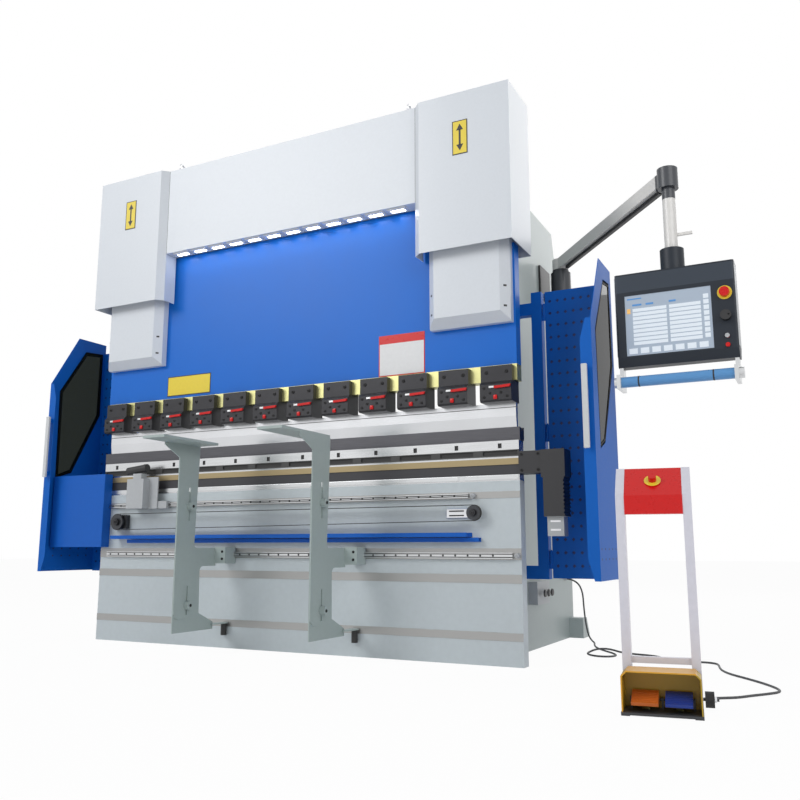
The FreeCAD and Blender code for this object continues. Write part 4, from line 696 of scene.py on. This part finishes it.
def coil(shape, middle, radius, wire, low, high, turns):
    """An upright coil spring."""
    steps, sides = turns * 16, 6
    rings = []
    for step in range(steps + 1):
        turn = 2 * math.pi * turns * step / steps
        z = low + (high - low) * step / steps
        outward = Vector((math.cos(turn), math.sin(turn), 0.0))
        centre = Vector((middle[0], middle[1], z)) + outward * radius
        parts = [2 * math.pi * side / sides for side in range(sides)]
        rings.append([shape.verts.new(centre + outward * wire * math.cos(part)
                                      + Vector((0, 0, wire * math.sin(part)))) for part in parts])
    for first, second in zip(rings, rings[1:]):
        for index in range(sides):
            after = (index + 1) % sides
            shape.faces.new((first[index], first[after], second[after], second[index]))
    shape.faces.new(rings[0])
    shape.faces.new(rings[-1])


def stand_fittings():
    """Return springs under the pedals, the wheel's nut and the yellow disc of the stop button."""
    def springs(shape):
        for x in (-0.050, 0.050):
            coil(shape, (x, 0.080), 0.009, 0.0013, 0.0122, 0.0200, 3)
    piece("pedal_springs", "machine", "zinc", on_stand(springs), smooth=True)

    def nut(shape):
        drum(shape, (0.1575, 0.206, 0.028), "X", 0.009, 0.007, sides=6)
    piece("wheel_nut", "wheel", "aluminium", on_stand(nut))

    def disc(shape):
        tilt = Matrix.Translation((0.0, 0.178, 0.723)) @ Matrix.Rotation(math.radians(45), 4, "X")
        bmesh.ops.create_cone(shape, cap_ends=True, segments=40, radius1=0.0272, radius2=0.0268, depth=0.0012,
                              matrix=tilt @ Matrix.Translation((0.0, 0.0, 0.0044)))
    piece("stop_disc", "machine", "yellow", on_stand(disc), smooth=True)


stand_fittings()


# Cable from the right frame to the pedal stand, in metres

CABLE_POINTS = [
    (1.1016, 1.180, 0.330), (1.150, 1.180, 0.324), (1.187, 1.184, 0.270), (1.190, 1.188, 0.172),
    (1.198, 1.186, 0.088), (1.216, 1.166, 0.026), (1.248, 1.112, 0.005), (1.290, 1.008, 0.005),
    (1.318, 0.888, 0.005), (1.360, 0.780, 0.005), (1.418, 0.690, 0.005), (1.478, 0.612, 0.005),
    (1.512, 0.539, 0.005), (1.502, 0.486, 0.005), (1.456, 0.462, 0.005), (1.406, 0.484, 0.005),
    (1.374, 0.530, 0.005), (1.364, 0.586, 0.006), (1.396, 0.628, 0.020), (1.452, 0.640, 0.022),
    (1.520, 0.634, 0.006), (1.590, 0.622, 0.005), (1.656, 0.606, 0.005), (1.708, 0.566, 0.005),
    (1.738, 0.504, 0.005), (1.756, 0.440, 0.005), (1.799, 0.414, 0.005), (1.848, 0.424, 0.005),
    (1.877, 0.465, 0.005), (1.926, 0.474, 0.005), (1.967, 0.445, 0.005), (1.981, 0.391, 0.005),
    (1.994, 0.304, 0.005), (2.018, 0.216, 0.005), (2.058, 0.138, 0.005), (2.136, 0.036, 0.005),
    (2.204, -0.070, 0.005), (2.246, -0.160, 0.005), (2.252, -0.222, 0.005), (2.216, -0.280, 0.005),
    (2.168, -0.344, 0.005), (2.130, -0.404, 0.005), (2.084, -0.436, 0.005), (2.036, -0.474, 0.005),
    (2.012, -0.556, 0.011), (2.0249, -0.6292, 0.018),
]
CABLE_RADIUS = 0.0045


def pedal_cable():
    """The cable's smooth line, which stands for the CAD cable."""
    curve = bpy.data.curves.new("pedal_cable_line", "CURVE")
    curve.dimensions = "3D"
    curve.resolution_u = 6
    curve.bevel_depth = CABLE_RADIUS
    curve.bevel_resolution = 4
    curve.use_fill_caps = True
    line = curve.splines.new("NURBS")
    line.points.add(len(CABLE_POINTS) - 1)
    for point, place in zip(line.points, CABLE_POINTS):
        point.co = (*place, 1.0)
    line.order_u = 3
    line.use_endpoint_u = True
    curve.materials.append(finishes["cable_grey"])
    cable = bpy.data.objects.new("pedal_cable_line", curve)
    bpy.context.scene.collection.objects.link(cable)
    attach(cable, "machine")
    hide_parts("pedal_cable")


pedal_cable()


# Floor, light and camera

FLOOR_SIZE = 60.0
FLOOR_WHITE = 0.955
FLOOR_DROP = 0.0005
AMBIENT = 0.40


def seen_directly(tree):
    """1 for the rays that should see a white studio: from the camera, a glossy surface or through glass."""
    path = tree.nodes.new("ShaderNodeLightPath")
    seen = path.outputs["Is Camera Ray"]
    for ray in ("Is Glossy Ray", "Is Transmission Ray"):
        either = tree.nodes.new("ShaderNodeMath")
        either.operation = "MAXIMUM"
        tree.links.new(seen, either.inputs[0])
        tree.links.new(path.outputs[ray], either.inputs[1])
        seen = either.outputs[0]
    return seen


def floor():
    """A pale floor that the camera sees nearly white, and that the object's light falls on."""
    mesh = bpy.data.meshes.new("floor")
    half = FLOOR_SIZE / 2
    corners = [(x, y, -FLOOR_DROP) for x, y in ((-half, -half), (half, -half), (half, half), (-half, half))]
    mesh.from_pydata(corners, [], [(0, 1, 2, 3)])
    made = bpy.data.materials.new("floor_pale")
    made.use_nodes = True
    shader = made.node_tree.nodes["Principled BSDF"]
    shader.inputs["Base Color"].default_value = opaque((0.93, 0.93, 0.93))
    shader.inputs["Roughness"].default_value = 0.9
    shader.inputs["Specular IOR Level"].default_value = 0.1
    tree = made.node_tree
    white = tree.nodes.new("ShaderNodeEmission")
    mix = tree.nodes.new("ShaderNodeMixShader")
    share = tree.nodes.new("ShaderNodeMath")
    share.operation = "MULTIPLY"
    share.inputs[1].default_value = FLOOR_WHITE
    tree.links.new(seen_directly(tree), share.inputs[0])
    tree.links.new(share.outputs[0], mix.inputs[0])
    tree.links.new(shader.outputs[0], mix.inputs[1])
    tree.links.new(white.outputs[0], mix.inputs[2])
    tree.links.new(mix.outputs[0], tree.nodes["Material Output"].inputs["Surface"])
    mesh.materials.append(made)
    ground = bpy.data.objects.new("floor", mesh)
    bpy.context.scene.collection.objects.link(ground)


def world():
    """A white surround, dimmer as a light than it looks."""
    made = bpy.data.worlds.new("studio")
    bpy.context.scene.world = made
    made.use_nodes = True
    tree = made.node_tree
    background = tree.nodes["Background"]
    background.inputs["Color"].default_value = opaque((1.0, 1.0, 1.0))
    strength = tree.nodes.new("ShaderNodeMapRange")
    strength.inputs["To Min"].default_value = AMBIENT
    strength.inputs["To Max"].default_value = 1.0
    tree.links.new(seen_directly(tree), strength.inputs["Value"])
    tree.links.new(strength.outputs[0], background.inputs["Strength"])


def lamp(name, place, target, size, power):
    """A soft square lamp that faces a point."""
    data = bpy.data.lights.new(name, "AREA")
    data.size = size
    data.energy = power
    made = bpy.data.objects.new(name, data)
    made.location = place
    made.rotation_euler = (Vector(target) - Vector(place)).to_track_quat("-Z", "Y").to_euler()
    bpy.context.scene.collection.objects.link(made)


def camera():
    """The photo's camera, fitted to points of the bed and covers."""
    data = bpy.data.cameras.new("camera")
    data.lens = LENS
    data.sensor_width = SENSOR
    data.clip_end = 100.0
    made = bpy.data.objects.new("camera", data)
    made.location = CAMERA_AT
    made.rotation_euler = (math.radians(90 + CAMERA_TILT), 0.0, math.radians(CAMERA_PAN))
    bpy.context.scene.collection.objects.link(made)
    bpy.context.scene.camera = made


floor()
world()
lamp("key", (-3.5, -5.5, 5.0), (0.0, 0.0, 1.2), 3.5, 205.0)
lamp("fill", (5.5, -3.5, 3.5), (0.6, 0.0, 1.2), 3.5, 95.0)
lamp("back", (1.5, 5.0, 5.0), (0.0, 0.3, 1.5), 4.0, 90.0)
camera()
bpy.context.scene.view_settings.view_transform = "Standard"
